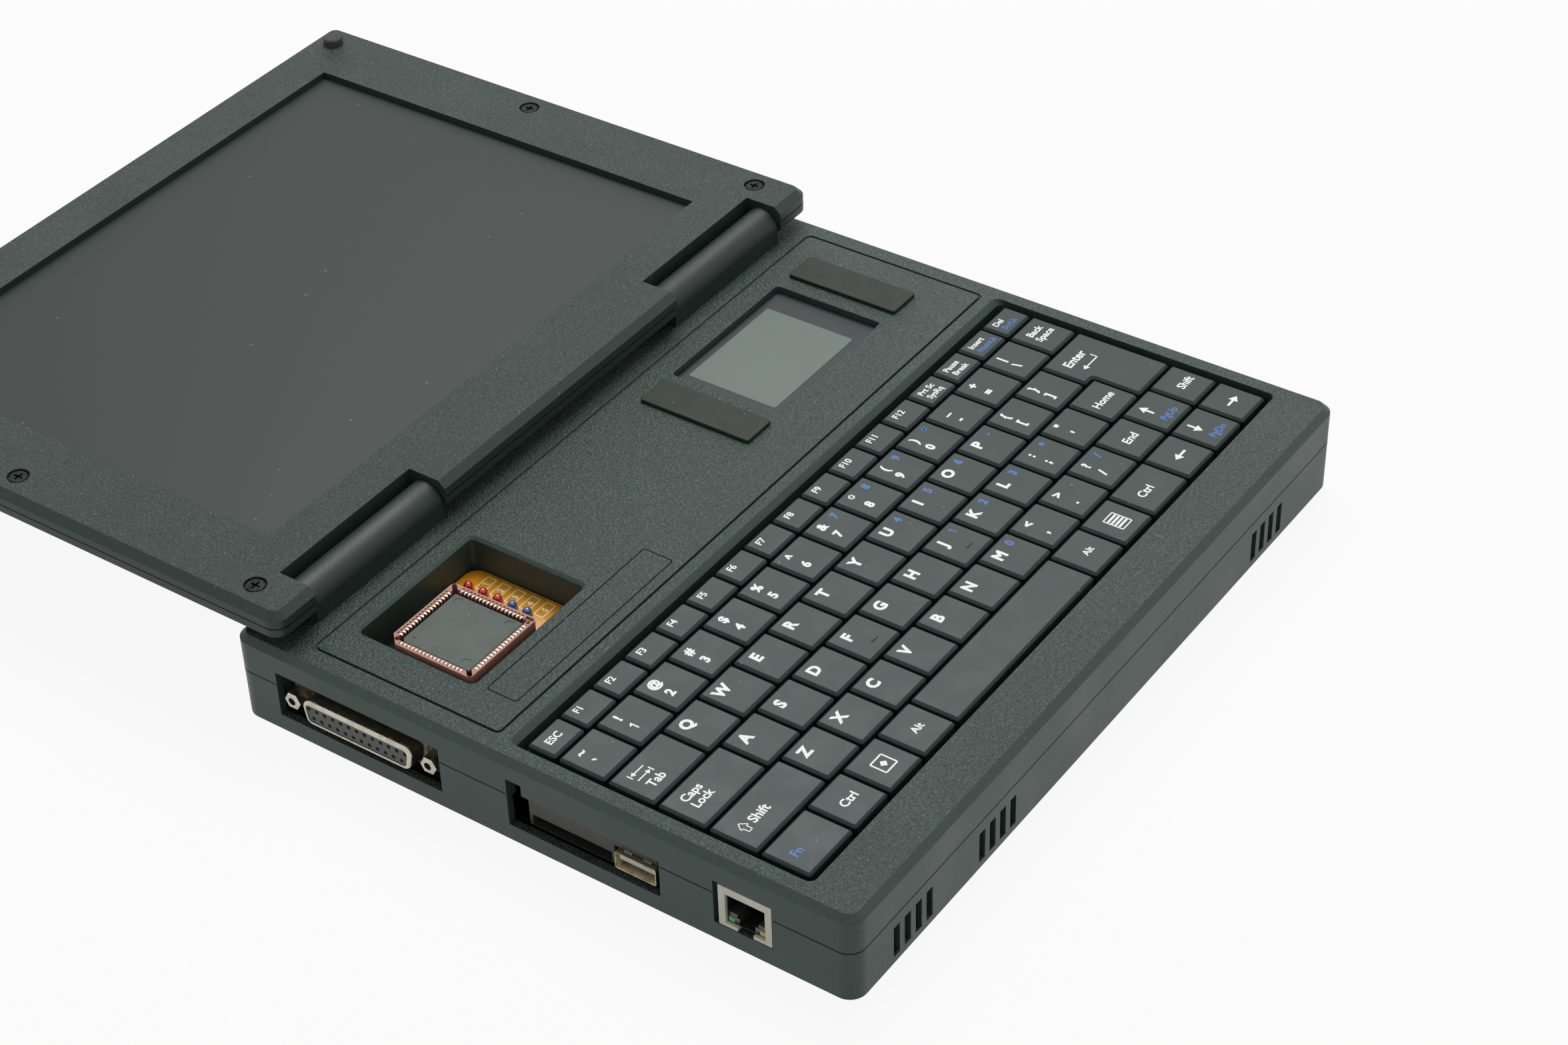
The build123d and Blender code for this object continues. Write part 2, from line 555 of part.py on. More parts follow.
def make_keyboard_base():
    """The steel plate that rests on the well's ledge and the switch membrane on it."""
    with BuildPart() as keyboard_plate:
        block(grow(KEY_WELL_X, -0.3), grow(KEY_WELL_Y, -0.3), (PLATE_BOTTOM, PLATE_BOTTOM + PLATE_THICKNESS), 2.0)
    save(keyboard_plate, "keyboard_plate")
    membrane_z = PLATE_BOTTOM + PLATE_THICKNESS
    with BuildPart() as key_membrane:
        block(grow(KEYS_X, -0.6), (KEYS_FRONT + 0.6, 5.6), (membrane_z, membrane_z + MEMBRANE_THICKNESS))
    save(key_membrane, "key_membrane")


def row_limits(row):
    """Front and rear limits of a key row. Row 5 is nearest the user, row 0 has the function keys."""
    if row == 0:
        front = KEYS_FRONT + 5 * ROW_PITCH
        return (front, front + FUNCTION_ROW_DEPTH)
    front = KEYS_FRONT + (5 - row) * ROW_PITCH
    return (front, front + ROW_PITCH)


def key_rows():
    """Name and x limits of each key node: a single key, or the run of equal keys that share a node."""
    left, right = KEYS_X
    unit = KEY_PITCH
    function_unit = (right - left) / FUNCTION_KEYS

    def run(start, pitch, count):
        return [(start + i * pitch, start + (i + 1) * pitch) for i in range(count)]

    row1, row2, row3, row4 = left + unit, left + 1.5 * unit, left + 1.75 * unit, left + 2 * unit
    arrows = right - 14.4 - 2 * 15.55
    return {
        0: {
            "key_escape": run(left, function_unit, 1),
            "keys_function": run(left + function_unit, function_unit, FUNCTION_KEYS - 1),
        },
        1: {
            "keys_digits": [(left, row1)] + run(row1, unit, 13),
            "key_backspace": [(row1 + 13 * unit, right)],
        },
        2: {
            "key_tab": [(left, row2)],
            "keys_upper_letters": run(row2, unit, 12),
        },
        3: {
            "key_caps_lock": [(left, row3)],
            "keys_middle_letters": run(row3, unit, 11),
            "key_home": run(row3 + 11 * unit, unit, 1),
        },
        4: {
            "key_shift_left": [(left, row4)],
            "keys_lower_letters": run(row4, unit, 10),
            "key_end": [(row4 + 10 * unit, row4 + 11 * unit)],
            "key_up": [(row4 + 11 * unit, row4 + 12 * unit)],
            "key_shift_right": [(row4 + 12 * unit, right)],
        },
        5: {
            "key_function": [(left, left + 20.2)],
            "key_control_left": run(left + 20.2, 15.85, 1),
            "key_command": run(left + 20.2 + 15.85, 15.85, 1),
            "key_alt_left": run(left + 20.2 + 2 * 15.85, 15.85, 1),
            "key_space": [(left + 20.2 + 3 * 15.85, 20.45)],
            "key_alt_right": run(20.45, 15.75, 1),
            "key_menu": run(20.45 + 15.75, 15.75, 1),
            "key_control_right": [(20.45 + 2 * 15.75, arrows)],
            "key_left": run(arrows, 15.55, 1),
            "key_down": run(arrows + 15.55, 15.55, 1),
            "key_right": [(arrows + 2 * 15.55, right)],
        },
    }


def make_key_node(name, spans, ys):
    """Cut the cap of every key in a node: a slab with chamfered top edges, one gap smaller than its field."""
    half_gap = KEY_GAP / 2
    key_z = (KEY_TOP - KEY_THICKNESS, KEY_TOP)
    with BuildPart() as caps:
        with BuildSketch(Plane.XY.offset(key_z[0])) as outlines:
            for xs in spans:
                with Locations((middle(xs), middle(ys))):
                    Rectangle(length(xs) - 2 * half_gap, length(ys) - 2 * half_gap)
            chamfer(outlines.vertices(), KEY_CORNER)
        extrude(outlines.sketch, amount=KEY_THICKNESS)
        chamfer(caps.faces().group_by(Axis.Z)[-1].edges(), KEY_CHAMFER)
    save(caps, name)


def make_enter_key():
    """The Enter key is an L: wide in the upper letter row and narrow beside the middle one."""
    left = KEYS_X[0] + 13.5 * KEY_PITCH
    narrow_left = KEYS_X[0] + 13.75 * KEY_PITCH
    right = KEYS_X[1]
    front, step = row_limits(3)
    rear = row_limits(2)[1]
    gap = KEY_GAP / 2
    with BuildPart() as enter:
        with BuildSketch(Plane.XY.offset(KEY_TOP - KEY_THICKNESS)) as outline:
            with BuildLine():
                Polyline((left + gap, rear - gap), (right - gap, rear - gap), (right - gap, front + gap),
                         (narrow_left + gap, front + gap), (narrow_left + gap, step + gap),
                         (left + gap, step + gap), close=True)
            make_face()
            chamfer(outline.vertices(), KEY_CORNER)
        extrude(outline.sketch, amount=KEY_THICKNESS)
        chamfer(enter.faces().sort_by(Axis.Z)[-1].edges(), KEY_CHAMFER)
    save(enter, "key_enter")


def make_keys():
    for row, nodes in key_rows().items():
        for name, spans in nodes.items():
            make_key_node(name, spans, row_limits(row))
    make_enter_key()


def housing_pegs():
    """Centres of the pegs that fix the two hinge housings to the deck."""
    return [(side * x, HINGE_Y) for side in (-1, 1) for x in (64.0, 100.0)]


def make_hinge_housings():
    """Blocks with a half-round top that stand on the deck and hold the hinge shafts."""
    bore_depth = 24.0
    for name, side in (("left", -1), ("right", 1)):
        inner, outer = side * HOUSING_X[0], side * HOUSING_X[1]
        end = Plane(origin=(outer, 0, 0), x_dir=(0, 1, 0), z_dir=(1, 0, 0))
        with BuildPart() as housing:
            with BuildSketch(end) as profile:
                with Locations((HINGE_Y, middle((BASE_HEIGHT, HOUSING_ARC_Z)))):
                    Rectangle(2 * HOUSING_RADIUS, HOUSING_ARC_Z - BASE_HEIGHT)
                with Locations((HINGE_Y, HOUSING_ARC_Z)):
                    Circle(HOUSING_RADIUS)
                with Locations((HINGE_Y, BASE_HEIGHT - 5)):
                    Rectangle(30, 10, mode=Mode.SUBTRACT)
            extrude(profile.sketch, amount=inner - outer)
            with BuildSketch(end) as bore:
                with Locations((HINGE_Y, HINGE_Z)):
                    Circle(SHAFT_RADIUS + SHAFT_CLEARANCE)
            extrude(bore.sketch, amount=-side * bore_depth, mode=Mode.SUBTRACT)
            pegs = [peg for peg in housing_pegs() if peg[0] * side > 0]
            post(pegs, 1.5, (DECK_UNDERSIDE, BASE_HEIGHT))
        save(housing, f"hinge_housing_{name}")


def make_hinge_leaves():
    """A steel shaft, the knuckle that grips it and the leaf that is screwed down inside the lid."""
    shaft_x = (87.5, 121.0)
    knuckle_x = (112.0, 121.5)
    leaf_z = (LID_BOTTOM + LID_BACK_THICKNESS, LID_BOTTOM + LID_BACK_THICKNESS + 1.2)
    with BuildPart() as hinge_leaves:
        for side in (-1, 1):
            xs = sorted(side * x for x in knuckle_x)
            block(xs, (HINGE_Y - 2.4, HINGE_Y + 2.4), (leaf_z[0], HINGE_Z + 2.4))
            block(xs, (HINGE_Y - 2.4, HINGE_Y + 22.0), leaf_z)
            start = Plane(origin=(side * shaft_x[0], 0, 0), x_dir=(0, 1, 0), z_dir=(1, 0, 0))
            with BuildSketch(start) as section:
                with Locations((HINGE_Y, HINGE_Z)):
                    Circle(SHAFT_RADIUS)
            extrude(section.sketch, amount=side * length(shaft_x))
        near_screws = [place for place in LID_SCREWS if place[1] < HINGE_Y + 20]
        post(near_screws, 2.9, (leaf_z[0], leaf_z[1]), mode=Mode.SUBTRACT)
    save(hinge_leaves, "hinge_leaves")


def lid_shell(half, zs, outer_face, cavity_z):
    """One half of the lid: a chamfered slab with the two hinge notches and a hollow inside."""
    xs = (-BASE_WIDTH / 2, BASE_WIDTH / 2)
    block(xs, LID_Y, zs, LID_CORNER)
    chamfer(half.faces().sort_by(Axis.Z)[outer_face].edges(), LID_CHAMFER)
    with BuildSketch(Plane.XY.offset(cavity_z[0])) as hollow:
        with Locations((0, middle(LID_Y))):
            RectangleRounded(BASE_WIDTH - 2 * LID_WALL, length(LID_Y) - 2 * LID_WALL, LID_CORNER - LID_WALL)
        for side in (-1, 1):
            with Locations((side * middle(NOTCH_X), NOTCH_END_Y + LID_WALL - 20)):
                Rectangle(length(NOTCH_X) + 2 * LID_WALL, 40, mode=Mode.SUBTRACT)
    extrude(hollow.sketch, amount=length(cavity_z), mode=Mode.SUBTRACT)
    for side in (-1, 1):
        notch_x = sorted(side * x for x in NOTCH_X)
        block(notch_x, (NOTCH_END_Y - 30, NOTCH_END_Y), (zs[0] - 1, zs[1] + 1), mode=Mode.SUBTRACT)


def cut_shaft_channels():
    """Open the ears' inner walls round the hinge shafts."""
    for side in (-1, 1):
        wall = Plane(origin=(side * (NOTCH_X[1] - 1), 0, 0), x_dir=(0, 1, 0), z_dir=(1, 0, 0))
        with BuildSketch(wall) as channel:
            with Locations((HINGE_Y, HINGE_Z)):
                Circle(SHAFT_RADIUS + SHAFT_CLEARANCE)
        extrude(channel.sketch, amount=side * (LID_WALL + 2), mode=Mode.SUBTRACT)


def make_lid():
    """Bezel, back, display, screws and the two bumpers that meet the deck when the lid is shut."""
    bezel_underside = LID_TOP - BEZEL_THICKNESS
    back_inside = LID_BOTTOM + LID_BACK_THICKNESS
    with BuildPart() as lid_bezel:
        lid_shell(lid_bezel, (HINGE_Z, LID_TOP), -1, (HINGE_Z, bezel_underside))
        block(SCREEN_X, SCREEN_Y, (bezel_underside - 1, LID_TOP), mode=Mode.SUBTRACT)
        cut_shaft_channels()
        post(LID_SCREWS, 1.3, (bezel_underside, LID_TOP), mode=Mode.SUBTRACT)
        post(LID_SCREWS, 3.3, (LID_TOP - 1.2, LID_TOP), mode=Mode.SUBTRACT)
        post(BUMPERS, 3.3, (LID_TOP - 0.5, LID_TOP), mode=Mode.SUBTRACT)
    save(lid_bezel, "lid_bezel")

    with BuildPart() as lid_back:
        lid_shell(lid_back, (LID_BOTTOM, HINGE_Z), 0, (back_inside, HINGE_Z))
        post(LID_SCREWS, 2.6, (back_inside, bezel_underside))
        post(LID_SCREWS, 1.2, (back_inside + 1, bezel_underside), mode=Mode.SUBTRACT)
        cut_shaft_channels()
    save(lid_back, "lid_back")

    with BuildPart() as display_panel:
        block(grow(SCREEN_X, 6.2), grow(SCREEN_Y, 6.2), (bezel_underside - 4.2, bezel_underside))
    save(display_panel, "display_panel")

    head_z = (LID_TOP - 1.2, LID_TOP - 0.25)
    with BuildPart() as lid_screws:
        post(LID_SCREWS, 2.6, head_z)
        post(LID_SCREWS, 1.2, (back_inside + 2, head_z[0]))
        with BuildSketch(Plane.XY.offset(head_z[1] - 0.7)) as drives:
            with Locations(*LID_SCREWS):
                Rectangle(3.0, 0.7)
                Rectangle(0.7, 3.0)
        extrude(drives.sketch, amount=0.7, mode=Mode.SUBTRACT)
    save(lid_screws, "lid_screws")

    with BuildPart() as lid_bumpers:
        post(BUMPERS, 3.3, (LID_TOP - 0.5, LID_TOP + 2.6))
        chamfer(lid_bumpers.faces().group_by(Axis.Z)[-1].edges(), 0.4)
    save(lid_bumpers, "lid_bumpers")


def main():
    os.makedirs("parts", exist_ok=True)
    make_bottom_case()
    make_top_case()
    make_access_plate()
    make_feet_and_screws()
    make_main_board()
    make_processor_well()
    make_touch_pad()
    make_parallel_port()
    make_network_jack()
    make_usb_port()
    make_card_slot()
    make_keyboard_base()
    make_keys()
    make_hinge_housings()
    make_hinge_leaves()
    make_lid()


main()
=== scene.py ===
"""Looks of the mini laptop: its finishes, legends and small parts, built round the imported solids.

Lengths in the classes are millimetres in the shared frame: X to the right, Y towards the hinge and Z up
from the underside of the case. Meshes are written in metres.
"""

import json
import logging
import math
from collections.abc import Callable, Sequence
from dataclasses import dataclass, field
from enum import Enum

import bpy
import numpy as np
from mathutils import Matrix, Vector


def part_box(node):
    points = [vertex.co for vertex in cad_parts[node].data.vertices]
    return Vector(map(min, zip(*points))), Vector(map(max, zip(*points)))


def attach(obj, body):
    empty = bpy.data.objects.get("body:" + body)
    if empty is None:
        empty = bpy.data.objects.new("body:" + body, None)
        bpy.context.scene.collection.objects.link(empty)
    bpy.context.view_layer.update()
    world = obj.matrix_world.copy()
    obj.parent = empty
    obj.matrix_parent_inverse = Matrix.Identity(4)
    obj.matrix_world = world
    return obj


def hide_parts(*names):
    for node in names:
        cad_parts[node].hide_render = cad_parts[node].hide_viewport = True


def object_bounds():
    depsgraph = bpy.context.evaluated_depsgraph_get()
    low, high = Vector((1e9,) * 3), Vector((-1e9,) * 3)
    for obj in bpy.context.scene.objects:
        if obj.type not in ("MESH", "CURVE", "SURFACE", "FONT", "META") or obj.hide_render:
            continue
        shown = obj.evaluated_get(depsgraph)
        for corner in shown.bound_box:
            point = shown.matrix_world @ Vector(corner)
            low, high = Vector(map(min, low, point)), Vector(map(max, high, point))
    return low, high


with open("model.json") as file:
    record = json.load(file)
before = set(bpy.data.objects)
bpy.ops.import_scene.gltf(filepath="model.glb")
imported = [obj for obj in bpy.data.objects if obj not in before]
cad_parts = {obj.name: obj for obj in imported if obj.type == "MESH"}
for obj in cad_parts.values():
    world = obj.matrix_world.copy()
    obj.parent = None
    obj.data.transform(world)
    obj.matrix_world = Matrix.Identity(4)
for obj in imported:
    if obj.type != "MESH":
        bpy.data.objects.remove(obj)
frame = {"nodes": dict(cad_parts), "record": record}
CAD_BOX = [list(corner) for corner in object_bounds()]

# One millimetre in metres
MM = 0.001

# How far ink reaches below and above the surface that carries it
INK_SINK = 0.01
INK_RISE = 0.02

# Least cosine of half a bend up to which a mitre is stretched
MITRE_LIMIT = 0.3

# Least gap along X between two solids of one node
SOLID_GAP = 0.05

# Length of an arrow's head against half its width
ARROW_HEAD = 1.6

# Normals of the planes that swept paths lie in
UP = (0, 0, 1)
REARWARD = (0, 1, 0)

LOG = logging.getLogger("mini_laptop")
BODY_OF = {node: body for body, nodes in frame["record"]["behaviour"]["bodies"].items() for node in nodes}

Colour = tuple[float, float, float]
Pair = tuple[float, float]
Outline = tuple[np.ndarray, np.ndarray]
Material = bpy.types.Material
Node = bpy.types.Node
Socket = bpy.types.NodeSocket


# Surfaces


@dataclass
class Surface:
    """Points in millimetres and the faces over them.

    Attributes:
        points: Array of shape (n, 3).
        faces: Each face as the numbers of its points, counter-clockwise seen from outside.
    """

    points: np.ndarray
    faces: list[tuple[int, ...]]

    def moved(self, x: float = 0.0, y: float = 0.0, z: float = 0.0) -> "Surface":
        """Return the surface shifted by the given millimetres."""
        return Surface(self.points + np.array([x, y, z]), self.faces)

    def turned(self, axes: Sequence[Sequence[float]]) -> "Surface":
        """Return the surface with its own x, y and z laid along the three given directions."""
        return Surface(self.points @ np.array(axes, dtype=float), self.faces)

    def at(self, places: np.ndarray) -> "Surface":
        """Repeat the surface at each place.

        Every point is the surface's own point plus the place, for all places at once.

        Args:
            places: Array of shape (m, 3) in millimetres.

        Returns:
            One surface that holds all the copies.
        """
        places = np.atleast_2d(places)
        points = (self.points[None, :, :] + places[:, None, :]).reshape(-1, 3)
        step = len(self.points)
        faces = [tuple(i + step * copy for i in face) for copy in range(len(places)) for face in self.faces]
        return Surface(points, faces)


def joined(parts: Sequence[Surface]) -> Surface:
    """Join several surfaces into one.

    Args:
        parts: The surfaces, in the order their points are kept.

    Returns:
        One surface with every point and face.
    """
    starts = np.cumsum([0] + [len(part.points) for part in parts])
    faces = [tuple(int(i + start) for i in face) for part, start in zip(parts, starts) for face in part.faces]
    return Surface(np.concatenate([part.points for part in parts]), faces)


def band_faces(rows: int, columns: int, wrap_rows: bool = False) -> list[tuple[int, ...]]:
    """Faces over a grid of points whose columns close into a ring.

    Args:
        rows: Number of rings.
        columns: Number of points round each ring.
        wrap_rows: Whether the last ring joins the first.

    Returns:
        Four-sided faces that point outwards where the rings run counter-clockwise and rise.
    """
    row, column = np.meshgrid(np.arange(rows if wrap_rows else rows - 1), np.arange(columns), indexing="ij")
    ring, next_ring = row * columns, (row + 1) % rows * columns
    beside = (column + 1) % columns
    quads = np.stack([ring + column, ring + beside, next_ring + beside, next_ring + column], -1)
    return [tuple(quad) for quad in quads.reshape(-1, 4).tolist()]


def ring_stack(rings: np.ndarray, wrap_rows: bool = False) -> Surface:
    """Close a stack of rings into a surface.

    Args:
        rings: Array of shape (rows, columns, 3), each ring counter-clockwise seen from the last one.
        wrap_rows: Whether the last ring joins the first; otherwise each end gets one flat face.

    Returns:
        The closed surface.
    """
    rows, columns = rings.shape[:2]
    faces = band_faces(rows, columns, wrap_rows)
    if not wrap_rows:
        faces.append(tuple(range(columns - 1, -1, -1)))
        faces.append(tuple(range((rows - 1) * columns, rows * columns)))
    return Surface(rings.reshape(-1, 3), faces)


def fillet_outline(corners: Sequence[Pair], radius: float | Sequence[float], steps: int = 5) -> Outline:
    """Round the corners of a counter-clockwise polygon.

    At each corner the outward normal turns evenly from one side's to the next side's, and the point lies
    one radius from the arc's centre along that normal, on the far side of it where the corner is hollow.

    Args:
        corners: The polygon's corners.
        radius: Radius of every corner, or one for each.
        steps: Number of points on each arc.

    Returns:
        The outline's points and its outward normals, both of shape (n, 2).
    """
    corner = np.array(corners, dtype=float)
    along = np.roll(corner, -1, axis=0) - corner
    along /= np.linalg.norm(along, axis=1, keepdims=True)
    before = np.roll(along, 1, axis=0)
    turn = np.arctan2(before[:, 0] * along[:, 1] - before[:, 1] * along[:, 0], (before * along).sum(1))
    hand = np.sign(turn)
    radius = np.broadcast_to(np.asarray(radius, dtype=float), len(corner))
    inward = np.stack([-before[:, 1], before[:, 0]], 1)
    setback = radius * np.tan(np.abs(turn) / 2)
    centre = corner - before * setback[:, None] + inward * (radius * hand)[:, None]
    start = np.arctan2(-inward[:, 1], -inward[:, 0])
    angle = start[:, None] + turn[:, None] * np.linspace(0, 1, steps)[None, :]
    normal = np.stack([np.cos(angle), np.sin(angle)], -1)
    points = centre[:, None, :] + normal * (radius * hand)[:, None, None]
    return points.reshape(-1, 2), normal.reshape(-1, 2)


def rectangle(xs: Pair, ys: Pair) -> list[Pair]:
    """Return the four corners of a rectangle, counter-clockwise."""
    return [(xs[0], ys[0]), (xs[1], ys[0]), (xs[1], ys[1]), (xs[0], ys[1])]


def rounded(xs: Pair, ys: Pair, radius: float, steps: int) -> Outline:
    """Return the outline of a rectangle with round corners."""
    return fillet_outline(rectangle(xs, ys), radius, steps)


def raised(outline: Outline, profile: Sequence[Pair], wrap: bool = False) -> Surface:
    """Carry a profile round an outline.

    Each ring is the outline moved inwards along its normals by the profile's first number, at the height
    of its second.

    Args:
        outline: Points and outward normals from fillet_outline.
        profile: Pairs of inset and height, from the bottom up.
        wrap: Whether the profile closes on itself, as a rim or frame does.

    Returns:
        The closed surface.
    """
    points, normals = outline
    inset, height = np.array(profile, dtype=float).T
    flat = points[None, :, :] - inset[:, None, None] * normals[None, :, :]
    tall = np.broadcast_to(height[:, None, None], (*flat.shape[:2], 1))
    return ring_stack(np.concatenate([flat, tall], -1), wrap)


def soft_edge(bottom: float, top: float, radius: float, foot: float = 0.0, steps: int = 4) -> list[Pair]:
    """Profile of a slab whose upper edge is a quarter round.

    The inset is r(1 - cos a) and the height is top - r + r sin a, for a from nothing to a right angle.
    One more ring a little further in keeps the shading of the round off the flat top.

    Args:
        bottom: Height of the underside.
        top: Height of the top.
        radius: Radius of the upper edge.
        foot: Radius of the lower edge.
        steps: Points on the quarter round.

    Returns:
        Pairs of inset and height.
    """
    angle = np.linspace(0, math.pi / 2, steps)
    upper = np.stack([radius * (1 - np.cos(angle)), top - radius + radius * np.sin(angle)], 1)
    lower = [(foot, bottom), (0.0, bottom + foot)] if foot else [(0.0, bottom)]
    flat_inset = radius * 1.12 + 0.01
    return [*lower, *map(tuple, upper.tolist()), (flat_inset, top)]


def revolved(profile: Sequence[Pair], sides: int = 24, wrap: bool = False) -> Surface:
    """Turn a profile round the Z axis.

    A point is (r cos a, r sin a, h) for each pair of radius r and height h and each angle a.

    Args:
        profile: Pairs of radius and height, from the bottom up.
        sides: Number of points round the axis.
        wrap: Whether the profile closes on itself, as a ring does.

    Returns:
        The closed surface.
    """
    radius, height = np.array(profile, dtype=float).T
    angle = np.linspace(0, 2 * math.pi, sides, endpoint=False)
    xs, ys = radius[:, None] * np.cos(angle), radius[:, None] * np.sin(angle)
    zs = np.broadcast_to(height[:, None], (len(radius), sides))
    return ring_stack(np.stack([xs, ys, zs], -1), wrap)


def swept(path: Sequence[Sequence[float]], section: Sequence[Pair], across: Sequence[float]) -> Surface:
    """Carry a section along a path that lies in one plane.

    At each point the section's first number goes along the plane's normal and its second along the normal
    of the path, stretched by one over the cosine of half the bend so that mitres keep their width.

    Args:
        path: Points of the path, shape (n, 3).
        section: Corners of the section, counter-clockwise seen against the path.
        across: Unit normal of the path's plane.

    Returns:
        The closed surface.
    """
    points = np.array(path, dtype=float)
    side = np.array(across, dtype=float)
    step = np.diff(points, axis=0)
    step /= np.linalg.norm(step, axis=1, keepdims=True)
    first, last = np.vstack([step[:1], step]), np.vstack([step, step[-1:]])
    tangent = first + last
    tangent /= np.linalg.norm(tangent, axis=1, keepdims=True)
    stretch = 1 / np.clip((tangent * last).sum(1), MITRE_LIMIT, 1)
    normal = np.cross(tangent, side) * stretch[:, None]
    shape = np.array(section, dtype=float)
    rings = points[:, None, :] + shape[None, :, :1] * side + shape[None, :, 1:] * normal[:, None, :]
    made = ring_stack(rings)
    if np.cross(shape[1] - shape[0], shape[2] - shape[1]) > 0:
        return made
    return Surface(made.points, [face[::-1] for face in made.faces])


def bar_section(width: float, thickness: float) -> list[Pair]:
    """Return a rectangular section centred on its path."""
    return rectangle((-width / 2, width / 2), (-thickness / 2, thickness / 2))


def arc(centre: Pair, radius: float, start: float, end: float, steps: int = 7) -> list[Pair]:
    """Work out points on a circle's arc.

    Args:
        centre: Centre of the circle.
        radius: Its radius.
        start: Angle of the first point in degrees.
        end: Angle of the last point in degrees.
        steps: Number of points.

    Returns:
        The points, as pairs.
    """
    angle = np.radians(np.linspace(start, end, steps))
    points = np.stack([centre[0] + radius * np.cos(angle), centre[1] + radius * np.sin(angle)], 1)
    return [tuple(point) for point in points.tolist()]


def band_profile(outer: float, inner: float, low: float, high: float) -> list[Pair]:
    """Return the profile of a flat band between two insets and two heights."""
    return [(outer, low), (outer, high), (inner, high), (inner, low)]


# Shader graphs


@dataclass
class Graph:
    """Adds and links the nodes of one material or node group.

    Attributes:
        tree: The node tree that is filled.
    """

    tree: bpy.types.NodeTree

    def node(self, kind: str, inputs: dict[str | int, object] | None = None, **settings: object) -> Node:
        """Add a node.

        Args:
            kind: Blender's name of the node type.
            inputs: Values or sockets for its inputs, by name or number.
            **settings: Settings of the node itself.

        Returns:
            The node.
        """
        made = self.tree.nodes.new(kind)
        for name, value in settings.items():
            setattr(made, name, value)
        for name, value in (inputs or {}).items():
            self.feed(made.inputs[name], value)
        return made

    def feed(self, socket: Socket, value: object) -> None:
        """Link a socket to the input, or set the input's own value.

        Args:
            socket: The input.
            value: The socket that feeds it, or its own value.
        """
        if isinstance(value, Socket):
            self.tree.links.new(value, socket)
        else:
            socket.default_value = value

    def sum(self, operation: str, first: object, second: object = 0.0, third: object = 0.0) -> Socket:
        """Return the result of a Math node."""
        return self.node("ShaderNodeMath", {0: first, 1: second, 2: third}, operation=operation).outputs[0]

    def vector(self, operation: str, first: object, second: object) -> Socket:
        """Return the result of a Vector Math node that works on two vectors."""
        return self.node("ShaderNodeVectorMath", {0: first, 1: second}, operation=operation).outputs[0]

    def span(
        self, value: Socket, low: float, high: float, out_low: float = 0.0, out_high: float = 1.0
    ) -> Socket:
        """Carry a value smoothly from one range to another and hold it at the ends.

        Args:
            value: The value.
            low: Start of its range, which may lie above the end.
            high: End of its range.
            out_low: Result at the start.
            out_high: Result at the end.

        Returns:
            The result.
        """
        ends = {"From Min": low, "From Max": high, "To Min": out_low, "To Max": out_high}
        made = self.node("ShaderNodeMapRange", {"Value": value, **ends}, interpolation_type="SMOOTHSTEP")
        return made.outputs["Result"]

    def blend(self, factor: object, first: object, second: object) -> Socket:
        """Mix two colours.

        Args:
            factor: Share of the second colour.
            first: The first colour.
            second: The second colour.

        Returns:
            The mixed colour.
        """
        made = self.node("ShaderNodeMix", data_type="RGBA")
        self.feed(made.inputs[0], factor)
        self.feed(made.inputs[6], first)
        self.feed(made.inputs[7], second)
        return made.outputs[2]

    def noise(self, place: Socket, scale: object, detail: float = 2.0, roughness: float = 0.5) -> Node:
        """Return a noise texture node."""
        inputs = {"Vector": place, "Scale": scale, "Detail": detail, "Roughness": roughness}
        return self.node("ShaderNodeTexNoise", inputs)

    def bump(self, height: Socket) -> Node:
        """Return a bump node whose height is in millimetres."""
        return self.node("ShaderNodeBump", {"Height": height, "Distance": MM, "Strength": 1.0})

    def effect(self, group: bpy.types.NodeTree, inputs: dict[str, object]) -> Node:
        """Place an effect group.

        Args:
            group: The group.
            inputs: Values or sockets for its inputs, by name.

        Returns:
            The node that uses it.
        """
        made = self.node("ShaderNodeGroup", node_tree=group)
        for name, value in inputs.items():
            self.feed(made.inputs[name], value)
        return made


def rgba(colour: Colour) -> tuple[float, float, float, float]:
    """Return a colour with full alpha."""
    return (*colour, 1.0)


def shade(colour: Colour, factor: float, lift: float = 0.0) -> tuple[float, float, float, float]:
    """Return a colour times a factor and a little lifted, with full alpha."""
    return rgba(tuple(min(1.0, c * factor + lift) for c in colour))


def srgb(red: int, green: int, blue: int) -> Colour:
    """Turn a colour as a screen shows it into linear values.

    Args:
        red: Red, from 0 to 255.
        green: Green, from 0 to 255.
        blue: Blue, from 0 to 255.

    Returns:
        The linear values.
    """
    values = np.array([red, green, blue]) / 255
    linear = np.where(values <= 0.04045, values / 12.92, ((values + 0.055) / 1.055) ** 2.4)
    return tuple(linear.tolist())


Filler = Callable[[Graph, Node], dict[str, Socket]]


